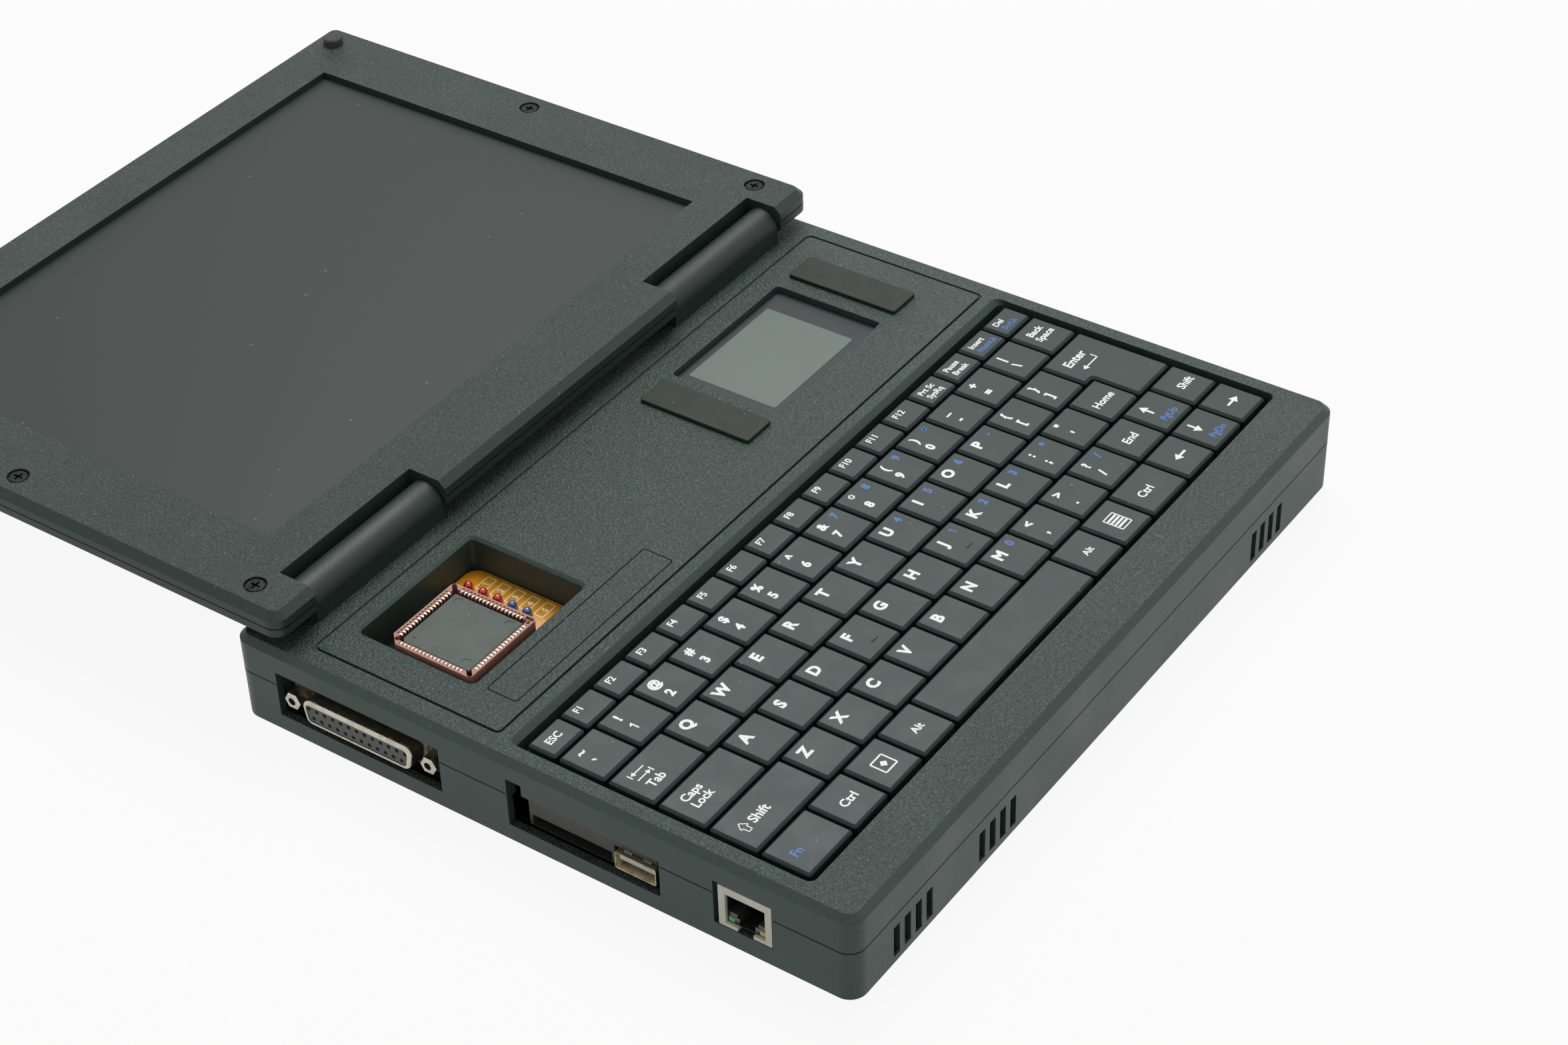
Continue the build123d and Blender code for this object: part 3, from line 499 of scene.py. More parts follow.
class Effects:
    """The shader effects that several finishes share, each one a node group built once.

    Attributes:
        grain: Height and tone of a moulded grain.
        layers: Height of the layers that a cutter leaves on a slope.
        specks: Mask of dust specks.
        smudges: Mask of finger smudges.
        edges: Mask of worn edges and their softened normal.
        scratches: Mask of fine scratches.
    """

    def __init__(self) -> None:
        """Build every group."""
        sized = {"Place": "Vector", "Size": "Float"}
        speckled = {**sized, "Amount": "Float"}
        layered = {"Place": "Vector", "Facing": "Vector", "Pitch": "Float"}
        bevelled = {"Place": "Vector", "Radius": "Float"}
        self.grain = self._group("moulded grain", sized, ["Height", "Tone"], self._grain)
        self.layers = self._group("cut layers", layered, ["Height"], self._layers)
        self.specks = self._group("dust specks", speckled, ["Mask"], self._specks)
        self.smudges = self._group("finger smudges", sized, ["Mask"], self._smudges)
        self.edges = self._group("worn edges", bevelled, ["Wear"], self._edges, "Normal")
        self.scratches = self._group("fine scratches", sized, ["Mask"], self._scratches)

    @staticmethod
    def _group(
        name: str, inputs: dict[str, str], outputs: list[str], fill: Filler, vector: str = ""
    ) -> bpy.types.NodeTree:
        """Make a node group.

        Args:
            name: Name of the group.
            inputs: Kind of each input socket by its name.
            outputs: Names of the value outputs.
            fill: Adds the nodes and returns the socket behind each output.
            vector: Name of one more output that is a vector.

        Returns:
            The group.
        """
        tree = bpy.data.node_groups.new(name, "ShaderNodeTree")
        for socket, kind in inputs.items():
            tree.interface.new_socket(name=socket, in_out="INPUT", socket_type="NodeSocket" + kind)
        for socket in outputs:
            tree.interface.new_socket(name=socket, in_out="OUTPUT", socket_type="NodeSocketFloat")
        if vector:
            tree.interface.new_socket(name=vector, in_out="OUTPUT", socket_type="NodeSocketVector")
        graph = Graph(tree)
        entry, leave = graph.node("NodeGroupInput"), graph.node("NodeGroupOutput")
        for socket, value in fill(graph, entry).items():
            graph.feed(leave.inputs[socket], value)
        return tree

    @staticmethod
    def _grain(graph: Graph, entry: Node) -> dict[str, Socket]:
        """Make leathery bumps: bent cells with fine noise over them, and a slow change of tone.

        The noise that bends the cells has a mean of one half, which is taken off it. The height is the
        distance from the cell's middle, turned over, plus shares of fine and of coarse noise.

        Args:
            graph: The group's graph.
            entry: Its input node.

        Returns:
            The height and the tone.
        """
        place, size = entry.outputs["Place"], entry.outputs["Size"]
        scale = graph.sum("DIVIDE", 1.0, size)
        bend = graph.noise(place, graph.sum("MULTIPLY", scale, 0.55)).outputs["Color"]
        shift = graph.vector("SUBTRACT", bend, (0.5, 0.5, 0.5))
        reach = graph.sum("MULTIPLY", size, 1.9)
        wide = graph.node("ShaderNodeVectorMath", {0: shift, "Scale": reach}, operation="SCALE").outputs[0]
        bent = graph.vector("ADD", place, wide)
        bent_cells = {"Vector": bent, "Scale": scale, "Smoothness": 0.35}
        cells = graph.node("ShaderNodeTexVoronoi", bent_cells, feature="SMOOTH_F1")
        fine = graph.noise(bent, graph.sum("MULTIPLY", scale, 2.4), 2.0).outputs["Fac"]
        coarse = graph.noise(place, graph.sum("MULTIPLY", scale, 0.45), 2.0, 0.6).outputs["Fac"]
        tone = graph.noise(place, graph.sum("MULTIPLY", scale, 0.9), 6.0, 0.75).outputs["Fac"]
        height = graph.sum("MULTIPLY_ADD", cells.outputs["Distance"], -1.15, 0.8)
        height = graph.sum("MULTIPLY_ADD", fine, 0.45, height)
        height = graph.sum("MULTIPLY_ADD", coarse, 0.6, height)
        return {"Height": height, "Tone": tone}

    @staticmethod
    def _layers(graph: Graph, entry: Node) -> dict[str, Socket]:
        """Make the steps that a cutter leaves: a sine up the height, only where the face slopes.

        Args:
            graph: The group's graph.
            entry: Its input node.

        Returns:
            The height, from -1 to 1.
        """
        parts = graph.node("ShaderNodeSeparateXYZ", {0: entry.outputs["Place"]})
        facing = graph.node("ShaderNodeSeparateXYZ", {0: entry.outputs["Facing"]})
        steep = graph.sum("ABSOLUTE", facing.outputs["Z"])
        slope = graph.sum("MULTIPLY", graph.span(steep, 0.04, 0.2), graph.span(steep, 0.99, 0.93))
        turns = graph.sum("DIVIDE", parts.outputs["Z"], entry.outputs["Pitch"])
        wave = graph.sum("SINE", graph.sum("MULTIPLY", turns, 2 * math.pi))
        return {"Height": graph.sum("MULTIPLY", wave, slope)}

    @staticmethod
    def _specks(graph: Graph, entry: Node) -> dict[str, Socket]:
        """Make small specks: the middles of a few cells, chosen by each cell's own random number.

        Args:
            graph: The group's graph.
            entry: Its input node.

        Returns:
            The mask, 1 in a speck.
        """
        place, scale = entry.outputs["Place"], graph.sum("DIVIDE", 1.0, entry.outputs["Size"])
        cells = graph.node("ShaderNodeTexVoronoi", {"Vector": place, "Scale": scale, "Randomness": 1.0})
        chance = graph.node("ShaderNodeSeparateColor", {0: cells.outputs["Color"]}).outputs["Red"]
        chosen = graph.sum("LESS_THAN", chance, entry.outputs["Amount"])
        return {"Mask": graph.sum("MULTIPLY", graph.span(cells.outputs["Distance"], 0.26, 0.1), chosen)}

    @staticmethod
    def _smudges(graph: Graph, entry: Node) -> dict[str, Socket]:
        """Make soft marks of fingers: slow noise with its middle values spread to black and white.

        Args:
            graph: The group's graph.
            entry: Its input node.

        Returns:
            The mask, 1 in a mark.
        """
        scale = graph.sum("DIVIDE", 1.0, entry.outputs["Size"])
        slow = graph.noise(entry.outputs["Place"], scale, 4.0, 0.55).outputs["Fac"]
        return {"Mask": graph.span(slow, 0.42, 0.68)}

    @staticmethod
    def _edges(graph: Graph, entry: Node) -> dict[str, Socket]:
        """Soften edges: the normal as a small round would turn it, and how far it turned.

        Args:
            graph: The group's graph.
            entry: Its input node.

        Returns:
            The wear, broken by noise, and the softened normal.
        """
        soft = graph.node("ShaderNodeBevel", {"Radius": entry.outputs["Radius"]}, samples=4).outputs["Normal"]
        plain = graph.node("ShaderNodeNewGeometry").outputs["True Normal"]
        meeting = graph.node("ShaderNodeVectorMath", {0: soft, 1: plain}, operation="DOT_PRODUCT")
        turned = graph.span(graph.sum("ABSOLUTE", meeting.outputs["Value"]), 0.995, 0.86)
        patches = graph.noise(entry.outputs["Place"], 420.0, 3.0, 0.6).outputs["Fac"]
        return {"Wear": graph.sum("MULTIPLY", turned, graph.span(patches, 0.36, 0.62)), "Normal": soft}

    @staticmethod
    def _scratches(graph: Graph, entry: Node) -> dict[str, Socket]:
        """Make fine scratches: thin bands where stretched noise crosses its middle, here and there.

        Args:
            graph: The group's graph.
            entry: Its input node.

        Returns:
            The mask, 1 in a scratch.
        """
        place, scale = entry.outputs["Place"], graph.sum("DIVIDE", 1.0, entry.outputs["Size"])
        stretch = {"Vector": place, "Rotation": (0.0, 0.0, 0.6), "Scale": (1.0, 9.0, 3.0)}
        long = graph.node("ShaderNodeMapping", stretch).outputs[0]
        streaks = graph.noise(long, scale, 1.0).outputs["Fac"]
        off_middle = graph.sum("ABSOLUTE", graph.sum("SUBTRACT", streaks, 0.5))
        patches = graph.noise(place, graph.sum("MULTIPLY", scale, 1.7), 1.0).outputs["Fac"]
        scratch = graph.span(off_middle, 0.008, 0.0)
        return {"Mask": graph.sum("MULTIPLY", scratch, graph.span(patches, 0.56, 0.66))}


EFFECTS = Effects()


# Finishes


@dataclass(frozen=True)
class Finish:
    """What every finish has: a name, a colour and a roughness.

    Attributes:
        name: Name of the material.
        colour: Base colour, linear.
        roughness: Roughness of the plain surface.
        gloss: Specular level of the surface.
    """

    name: str
    colour: Colour
    roughness: float = 0.5
    gloss: float = 0.5

    def start(self) -> tuple[Material, Graph, Node, Node]:
        """Make the material with its shader and its place on the object.

        Returns:
            The material, its graph, its Principled shader and its texture coordinates.
        """
        made = bpy.data.materials.new(self.name)
        made.use_nodes = True
        graph = Graph(made.node_tree)
        shader = made.node_tree.nodes["Principled BSDF"]
        shader.inputs["Base Color"].default_value = rgba(self.colour)
        shader.inputs["Roughness"].default_value = self.roughness
        shader.inputs["Specular IOR Level"].default_value = self.gloss
        made.diffuse_color = rgba(self.colour)
        return made, graph, shader, graph.node("ShaderNodeTexCoord")

    @staticmethod
    def join(
        graph: Graph, shader: Node, colour: Socket, roughness: Socket, normal: Socket | None = None
    ) -> None:
        """Feed the shader.

        Args:
            graph: The material's graph.
            shader: Its shader.
            colour: The finished colour.
            roughness: The finished roughness.
            normal: The finished normal, if the surface isn't smooth.
        """
        graph.feed(shader.inputs["Base Color"], colour)
        graph.feed(shader.inputs["Roughness"], roughness)
        if normal is not None:
            graph.feed(shader.inputs["Normal"], normal)

    @staticmethod
    def dusted(
        graph: Graph, where: Socket, body: Socket, size: float, amount: float, strength: float, dust: Colour
    ) -> Socket:
        """Lay dust specks over a colour.

        Args:
            graph: The material's graph.
            where: Place on the object.
            body: The colour under the dust.
            size: Size of the speck cells in millimetres.
            amount: Share of the cells that hold a speck.
            strength: How far a speck covers the colour.
            dust: Colour of the dust.

        Returns:
            The dusted colour.
        """
        specks = graph.effect(EFFECTS.specks, {"Place": where, "Size": size * MM, "Amount": amount})
        return graph.blend(graph.sum("MULTIPLY", specks.outputs["Mask"], strength), body, rgba(dust))

    def material(self) -> Material:
        """Return the material, built the first time it is asked for."""
        return bpy.data.materials.get(self.name) or self.build()

    def build(self) -> Material:
        """Build the plain material; each kind of finish builds its own."""
        return self.start()[0]


@dataclass(frozen=True)
class MouldedPlastic(Finish):
    """Plastic with a leathery grain on its flat faces and fine cut layers on its slopes.

    Attributes:
        grain: Size of the grain's cells in millimetres.
        depth: Height of the grain in millimetres on faces that look up or down.
        side_depth: Height of the grain on upright faces.
        layer_pitch: Height of one cut layer in millimetres.
        layer_depth: Depth of the layers' wave in millimetres.
        dust: Share of the speck cells that hold dust.
        bloom: Strength of the pale speckled patches.
        edge: Radius of the softened edges in millimetres.
        rub: How far rubbed edges lighten.
        tones: The grain's palest and darkest tone, as shares of the colour.
        pit: Tone of the painted shade in the grain's hollows.
        peak: Tone of the painted highlight on the grain's high points.
        groove: Tone of the painted shade in the grooves between cut layers.
        smudge_size: Size of the finger smudges in millimetres.
    """

    grain: float = 0.58
    depth: float = 0.26
    side_depth: float = 0.02
    layer_pitch: float = 0.24
    layer_depth: float = 0.012
    dust: float = 0.015
    bloom: float = 0.25
    edge: float = 0.25
    rub: float = 0.35
    tones: Pair = (2.1, 0.42)
    # Tones of the painted shade in the grain's hollows and of the painted highlight on its high points
    pit: float = 0.35
    peak: float = 2.6
    # Tone of the painted shade in the grooves between cut layers
    groove: float = 0.3
    smudge_size: float = 24.0

    def grained(self, graph: Graph, grain: Node, flat: Socket) -> Socket:
        """Colour the grain: a spread of tones, painted shade in its hollows and a painted highlight on its
        high points, on flat faces only.

        Args:
            graph: The material's graph.
            grain: The grain effect.
            flat: Mask of the flat faces.

        Returns:
            The colour.
        """
        light, dark = [shade(self.colour, share) for share in self.tones]
        spread = graph.blend(graph.span(grain.outputs["Tone"], 0.34, 0.66), dark, light)
        body = graph.blend(graph.sum("MULTIPLY_ADD", flat, 0.75, 0.25), rgba(self.colour), spread)
        # Painted shade: the grain's hollows are darkened
        pit_shade_mask = graph.sum("MULTIPLY", flat, graph.span(grain.outputs["Height"], 1.15, 0.6, 0.0, 0.75))
        body = graph.blend(pit_shade_mask, body, shade(self.colour, self.pit))
        # Painted highlight: the grain's high points are lightened
        peak_highlight_mask = graph.sum("MULTIPLY", flat, graph.span(grain.outputs["Height"], 1.12, 1.42, 0.0, 0.8))
        return graph.blend(peak_highlight_mask, body, shade(self.colour, self.peak))

    def build(self) -> Material:
        """Build the material: tone, dust, painted shade and a painted highlight in the colour, grain and
        layers in the bump.

        Returns:
            The material.
        """
        made, graph, shader, place = self.start()
        where, facing = place.outputs["Object"], place.outputs["Normal"]
        level = graph.sum("ABSOLUTE", graph.node("ShaderNodeSeparateXYZ", {0: facing}).outputs["Z"])
        flat = graph.span(level, 0.9, 0.99)
        grain = graph.effect(EFFECTS.grain, {"Place": where, "Size": self.grain * MM})
        cut = {"Place": where, "Facing": facing, "Pitch": self.layer_pitch * MM}
        layers = graph.effect(EFFECTS.layers, cut).outputs["Height"]
        edges = graph.effect(EFFECTS.edges, {"Place": where, "Radius": self.edge * MM})
        marks = {"Place": where, "Size": self.smudge_size * MM}
        smudge = graph.effect(EFFECTS.smudges, marks).outputs["Mask"]
        depth = graph.sum("MULTIPLY_ADD", flat, self.depth - self.side_depth, self.side_depth)
        height = graph.sum("MULTIPLY", grain.outputs["Height"], depth)
        bump = graph.bump(graph.sum("MULTIPLY_ADD", layers, self.layer_depth, height))
        graph.feed(bump.inputs["Normal"], edges.outputs["Normal"])
        body = self.grained(graph, grain, flat)
        # Painted shade: the grooves between cut layers are darkened
        body = graph.blend(graph.span(layers, 0.1, 0.9, 0.0, 0.5), body, shade(self.colour, self.groove))
        rubbed = shade(self.colour, self.tones[0], lift=0.01)
        body = graph.blend(graph.sum("MULTIPLY", edges.outputs["Wear"], self.rub), body, rubbed)
        body = self.dusted(graph, where, body, 1.1, self.dust, 0.5, srgb(168, 170, 166))
        pale = graph.effect(EFFECTS.specks, {"Place": where, "Size": 0.62 * MM, "Amount": 0.3})
        patchy = graph.sum("MULTIPLY", graph.sum("MULTIPLY", smudge, flat), pale.outputs["Mask"])
        body = graph.blend(graph.sum("MULTIPLY", patchy, self.bloom), body, rgba(srgb(150, 156, 152)))
        rough = graph.sum("MULTIPLY_ADD", smudge, -0.07, self.roughness + 0.03)
        self.join(graph, shader, body, rough, bump.outputs[0])
        return made


@dataclass(frozen=True)
class KeyPlastic(Finish):
    """Smooth key plastic with finger smudges, a very fine grain and a few specks of dust."""

    def build(self) -> Material:
        """Build the material: smudges lighten the colour and polish the surface.

        Returns:
            The material.
        """
        made, graph, shader, place = self.start()
        where = place.outputs["Object"]
        smudge = graph.effect(EFFECTS.smudges, {"Place": where, "Size": 9 * MM}).outputs["Mask"]
        fine = graph.effect(EFFECTS.grain, {"Place": where, "Size": 0.16 * MM})
        worn = graph.sum("MULTIPLY", smudge, 0.5)
        body = graph.blend(worn, rgba(self.colour), shade(self.colour, 1.25))
        body = self.dusted(graph, where, body, 1.6, 0.012, 0.35, srgb(170, 172, 168))
        rough = graph.sum("MULTIPLY_ADD", smudge, -0.05, self.roughness)
        bump = graph.bump(graph.sum("MULTIPLY", fine.outputs["Height"], 0.004))
        self.join(graph, shader, body, rough, bump.outputs[0])
        return made


@dataclass(frozen=True)
class Metal(Finish):
    """Plated or turned metal with fine scratches and a cloudy roughness.

    Attributes:
        tarnish: Colour of the duller patches.
        dull: Share of the duller colour.
    """

    tarnish: Colour = (0.2, 0.18, 0.14)
    dull: float = 0.35

    def build(self) -> Material:
        """Build the material: cloudy tarnish in the colour, scratches in roughness and bump.

        Returns:
            The material.
        """
        made, graph, shader, place = self.start()
        where = place.outputs["Object"]
        cloud = graph.effect(EFFECTS.smudges, {"Place": where, "Size": 2.2 * MM}).outputs["Mask"]
        marks = graph.effect(EFFECTS.scratches, {"Place": where, "Size": 1.5 * MM}).outputs["Mask"]
        edges = graph.effect(EFFECTS.edges, {"Place": where, "Radius": 0.08 * MM})
        body = graph.blend(graph.sum("MULTIPLY", cloud, self.dull), rgba(self.colour), rgba(self.tarnish))
        rough = graph.sum("MULTIPLY_ADD", cloud, 0.16, self.roughness)
        rough = graph.sum("MULTIPLY_ADD", marks, 0.2, rough)
        bump = graph.bump(graph.sum("MULTIPLY", marks, -0.004))
        graph.feed(bump.inputs["Normal"], edges.outputs["Normal"])
        shader.inputs["Metallic"].default_value = 1.0
        self.join(graph, shader, body, rough, bump.outputs[0])
        return made


@dataclass(frozen=True)
class Satin(Finish):
    """Even satin material, such as socket plastic, rubber, film or board lacquer.

    Attributes:
        vary: How far the colour wanders, as a share of it.
        patch: Size of the colour's patches in millimetres.
        grain: Size of the fine grain in millimetres.
        depth: Height of the fine grain in millimetres.
        dust: Share of the speck cells that hold dust.
        coat: Weight of a clear coat.
        glow: Strength of a painted glow, with which the colour shines by itself.
        edge: Radius of the softened edges in millimetres, or 0 for none.
    """

    vary: float = 0.15
    patch: float = 6.0
    grain: float = 0.15
    depth: float = 0.004
    dust: float = 0.01
    coat: float = 0.0
    # Strength of a painted glow
    glow: float = 0.0
    edge: float = 0.0

    def build(self) -> Material:
        """Build the material: slow patches in the colour, fine grain in the bump.

        Returns:
            The material.
        """
        made, graph, shader, place = self.start()
        where = place.outputs["Object"]
        patch = graph.effect(EFFECTS.smudges, {"Place": where, "Size": self.patch * MM}).outputs["Mask"]
        fine = graph.effect(EFFECTS.grain, {"Place": where, "Size": self.grain * MM})
        body = graph.blend(patch, shade(self.colour, 1 - self.vary), shade(self.colour, 1 + self.vary))
        body = self.dusted(graph, where, body, 1.3, self.dust, 0.4, srgb(186, 188, 184))
        rough = graph.sum("MULTIPLY_ADD", patch, 0.08, self.roughness - 0.04)
        bump = graph.bump(graph.sum("MULTIPLY", fine.outputs["Height"], self.depth))
        if self.edge:
            edges = graph.effect(EFFECTS.edges, {"Place": where, "Radius": self.edge * MM})
            graph.feed(bump.inputs["Normal"], edges.outputs["Normal"])
        shader.inputs["Coat Weight"].default_value = self.coat
        shader.inputs["Coat Roughness"].default_value = 0.08
        # Painted glow: the colour shines by itself
        shader.inputs["Emission Strength"].default_value = self.glow
        if self.glow:
            graph.feed(shader.inputs["Emission Color"], body)
        self.join(graph, shader, body, rough, bump.outputs[0])
        return made


def board_lamp(name: str, colour: Colour) -> Satin:
    """Return the clear coloured plastic of a lamp on the lamp board, with a little painted glow."""
    return Satin(name, colour, 0.12, vary=0.10, patch=1.5, depth=0.0, dust=0.0, coat=1.0, glow=0.08)


def jack_lamp(name: str, colour: Colour) -> Satin:
    """Return the duller coloured plastic of a lamp in the network jack, with a little painted glow."""
    return Satin(name, colour, 0.2, vary=0.15, patch=1.0, depth=0.0, dust=0.0, coat=0.6, glow=0.1)


@dataclass(frozen=True)
class PrintedInk(Finish):
    """Printed ink that lets a little of the plastic through where it is thin."""

    def build(self) -> Material:
        """Build the material: fine noise thins the colour.

        Returns:
            The material.
        """
        made, graph, shader, place = self.start()
        thin = graph.span(graph.noise(place.outputs["Object"], 3500.0, 3.0).outputs["Fac"], 0.45, 0.8)
        body = graph.blend(graph.sum("MULTIPLY", thin, 0.28), rgba(self.colour), shade(self.colour, 0.45))
        self.join(graph, shader, body, graph.sum("MULTIPLY_ADD", thin, 0.15, self.roughness))
        return made


@dataclass(frozen=True)
class ScreenFilm(Finish):
    """The unlit screen: dark matt film with a very fine tooth and a faint slow change of tone."""

    def build(self) -> Material:
        """Build the material: faint tone, fine tooth and a trace of dust.

        Returns:
            The material.
        """
        made, graph, shader, place = self.start()
        where = place.outputs["Object"]
        cloud = graph.noise(where, 9.0, 2.0).outputs["Fac"]
        body = graph.blend(cloud, shade(self.colour, 0.90), shade(self.colour, 1.12))
        body = self.dusted(graph, where, body, 2.6, 0.012, 0.25, srgb(150, 156, 156))
        tooth = graph.noise(where, 9000.0, 2.0).outputs["Fac"]
        bump = graph.bump(graph.sum("MULTIPLY", tooth, 0.0015))
        rough = graph.sum("MULTIPLY_ADD", cloud, 0.06, self.roughness)
        self.join(graph, shader, body, rough, bump.outputs[0])
        return made


CASE = MouldedPlastic("case plastic", srgb(56, 74, 68), 0.42, 0.36, layer_pitch=0.19)
LID = MouldedPlastic("lid plastic", srgb(43, 59, 53), 0.42, 0.32, layer_pitch=0.19, dust=0.04, bloom=0.5)
HINGE = MouldedPlastic(
    "hinge cover plastic", srgb(34, 46, 43), 0.47, 0.36, depth=0.010, side_depth=0.010, bloom=0.0, edge=0.3
)
KEYS = KeyPlastic("key plastic", srgb(27, 46, 42), 0.44, 0.34)
BUTTON = Satin("button rubber", srgb(27, 36, 29), 0.52, 0.24, vary=0.05, grain=0.2, depth=0.006)
DARK_PLASTIC = Satin("black plastic", srgb(20, 22, 22), 0.5, 0.3, edge=0.1)
# Painted shadow of the seam gaps
SEAM_SHADOW = Satin("seam shadow", srgb(9, 11, 11), 0.9, 0.1, vary=0.2, depth=0.0)
PAD_FRAME = Satin("pad frame plastic", srgb(22, 32, 34), 0.44, 0.34, vary=0.05)
PAD_FILM = Satin("pad film", srgb(95, 109, 101), 0.40, 0.42, vary=0.03, patch=14.0, grain=0.12, depth=0.003)
RUBBER = Satin("rubber", srgb(30, 33, 33), 0.72, 0.3, grain=0.3, depth=0.012)
SCREEN = ScreenFilm("screen film", srgb(13, 30, 27), 0.38, 0.35)
SOCKET = Satin(
    "socket plastic", srgb(172, 122, 106), 0.42, 0.4, vary=0.08, grain=0.25, depth=0.006, edge=0.12
)
CHIP = Satin("chip epoxy", srgb(54, 67, 60), 0.45, 0.40, vary=0.03, grain=0.10, depth=0.004, edge=0.1)
CONTACT = Metal("contact metal", srgb(208, 184, 164), 0.26, tarnish=srgb(170, 134, 96), dull=0.3)
NICKEL = Metal("nickel plate", srgb(190, 184, 170), 0.25, tarnish=srgb(140, 128, 100), dull=0.3)
AGED_PLATE = Metal("aged plate", srgb(112, 106, 90), 0.40, tarnish=srgb(64, 56, 40), dull=0.55)
USB_PLATE = Metal("warm plate", srgb(178, 168, 138), 0.32, tarnish=srgb(96, 84, 56), dull=0.6)
BLACK_STEEL = Metal("black steel", srgb(40, 42, 43), 0.42, tarnish=srgb(18, 18, 19), dull=0.5)
GOLD = Metal("gold wire", srgb(214, 174, 96), 0.2, tarnish=srgb(150, 110, 50), dull=0.2)
BOARD_YELLOW = Satin(
    "yellow board lacquer", srgb(232, 160, 18), 0.22, vary=0.06, patch=4.0, depth=0.002, coat=0.5
)
BOARD_DARK = Satin(
    "dark board lacquer", srgb(14, 20, 17), 0.35, 0.3, vary=0.12, patch=3.0, depth=0.003, coat=0.1
)
TRACE = Satin("covered trace", srgb(128, 116, 20), 0.25, vary=0.1, patch=2.0, depth=0.002, coat=0.5)
BATTERY = Satin("battery wrap", srgb(34, 38, 44), 0.3, vary=0.08, depth=0.01, coat=0.3)
JACK = Satin("jack plastic", srgb(240, 235, 216), 0.4, vary=0.04, depth=0.004, edge=0.1)
INSERT = Satin("insert plastic", srgb(90, 97, 92), 0.5, 0.4, vary=0.05, depth=0.004, edge=0.05)
PANEL = Satin("label panel", srgb(58, 58, 53), 0.42, 0.4, vary=0.05, patch=10.0, depth=0.004)
TONGUE = Satin("tongue plastic", srgb(226, 226, 218), 0.38, vary=0.03, depth=0.002)
SMOKE = Satin("smoky plastic", srgb(64, 70, 66), 0.22, vary=0.1, patch=1.0, depth=0.0, coat=0.4)
# Lamp lenses with a faint painted glow
LAMP_RED = board_lamp("red lamp", srgb(190, 18, 18))
LAMP_BLUE = board_lamp("blue lamp", srgb(52, 92, 168))
LAMP_GREEN = jack_lamp("green lamp", srgb(72, 150, 84))
LAMP_YELLOW = jack_lamp("yellow lamp", srgb(188, 176, 52))
INK_WHITE = PrintedInk("white ink", srgb(246, 250, 249), 0.45)
INK_BLUE = PrintedInk("blue ink", srgb(52, 106, 182), 0.45)
INK_BOARD = PrintedInk("board ink", srgb(250, 240, 206), 0.4)


# Placing pieces


def make_piece(
    name: str,
    surface: Surface,
    body: str,
    finish: Finish,
    replaces: Sequence[str] = (),
    sharp: float = 40.0,
) -> bpy.types.Object:
    """Make a finished piece of the laptop.

    Args:
        name: Name of the piece.
        surface: Its shape in millimetres.
        body: CAD body that it rides on.
        finish: Its finish.
        replaces: CAD nodes that it stands for.
        sharp: Angle in degrees above which an edge is left sharp.

    Returns:
        The object, at the origin, with its place in its mesh.
    """
    mesh = bpy.data.meshes.new(name)
    mesh.from_pydata((surface.points * MM).tolist(), [], surface.faces)
    mesh.polygons.foreach_set("use_smooth", np.ones(len(mesh.polygons), dtype=bool))
    mesh.set_sharp_from_angle(angle=math.radians(sharp))
    mesh.materials.append(finish.material())
    mesh.update()
    made = bpy.data.objects.new(name, mesh)
    bpy.context.scene.collection.objects.link(made)
    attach(made, body)
    if replaces:
        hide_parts(*replaces)
    LOG.info("%s: %d faces on %s", name, len(mesh.polygons), body)
    return made


def dress(finish: Finish, *nodes: str) -> None:
    """Give CAD nodes a finish.

    Args:
        finish: The finish.
        *nodes: Names of the nodes.
    """
    for node in nodes:
        held = frame["nodes"][node]
        held.data.materials.clear()
        held.data.materials.append(finish.material())
        LOG.info("%s: dressed in %s", node, finish.name)


def node_box(node: str) -> tuple[np.ndarray, np.ndarray]:
    """Return the lowest and highest corner of a CAD node in millimetres."""
    low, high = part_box(node)
    return np.array(low) / MM, np.array(high) / MM


def solid_spans(node: str) -> list[Pair]:
    """Find where the separate solids of a CAD node lie along X.

    The triangles' X spans are sorted, and a new solid starts wherever a span begins beyond all before it.

    Args:
        node: Name of the node.

    Returns:
        The X limits of each solid in millimetres, from left to right.
    """
    mesh = frame["nodes"][node].data
    points = np.empty(len(mesh.vertices) * 3)
    mesh.vertices.foreach_get("co", points)
    mesh.calc_loop_triangles()
    corner = np.empty(len(mesh.loop_triangles) * 3, dtype=np.int32)
    mesh.loop_triangles.foreach_get("vertices", corner)
    xs = points.reshape(-1, 3)[corner, 0].reshape(-1, 3) / MM
    order = np.argsort(xs.min(1))
    low, high = xs.min(1)[order], np.maximum.accumulate(xs.max(1)[order])
    cut = np.flatnonzero(low[1:] > high[:-1] + SOLID_GAP)
    starts, ends = np.concatenate([[0], cut + 1]), np.concatenate([cut, [len(low) - 1]])
    return [(float(low[a]), float(high[b])) for a, b in zip(starts, ends)]


# Legends


class Ink(Enum):
    """The inks that the legends are printed in."""

    WHITE = "white"
    BLUE = "blue"
    BOARD = "board"


INKS = {Ink.WHITE: INK_WHITE, Ink.BLUE: INK_BLUE, Ink.BOARD: INK_BOARD}


class Align(Enum):
    """Which point of a legend its place names."""

    LEFT = "LEFT"
    CENTRE = "CENTER"


@dataclass(frozen=True)
class Mark:
    """One printed text.

    Attributes:
        text: What it says.
        height: Height of a capital letter in millimetres.
        x: Distance from the key's left edge.
        down: Distance of the base line below the key's rear edge.
        ink: Its ink.
        align: What x measures to.
    """

    text: str
    height: float
    x: float
    down: float
    ink: Ink = Ink.WHITE
    align: Align = Align.CENTRE


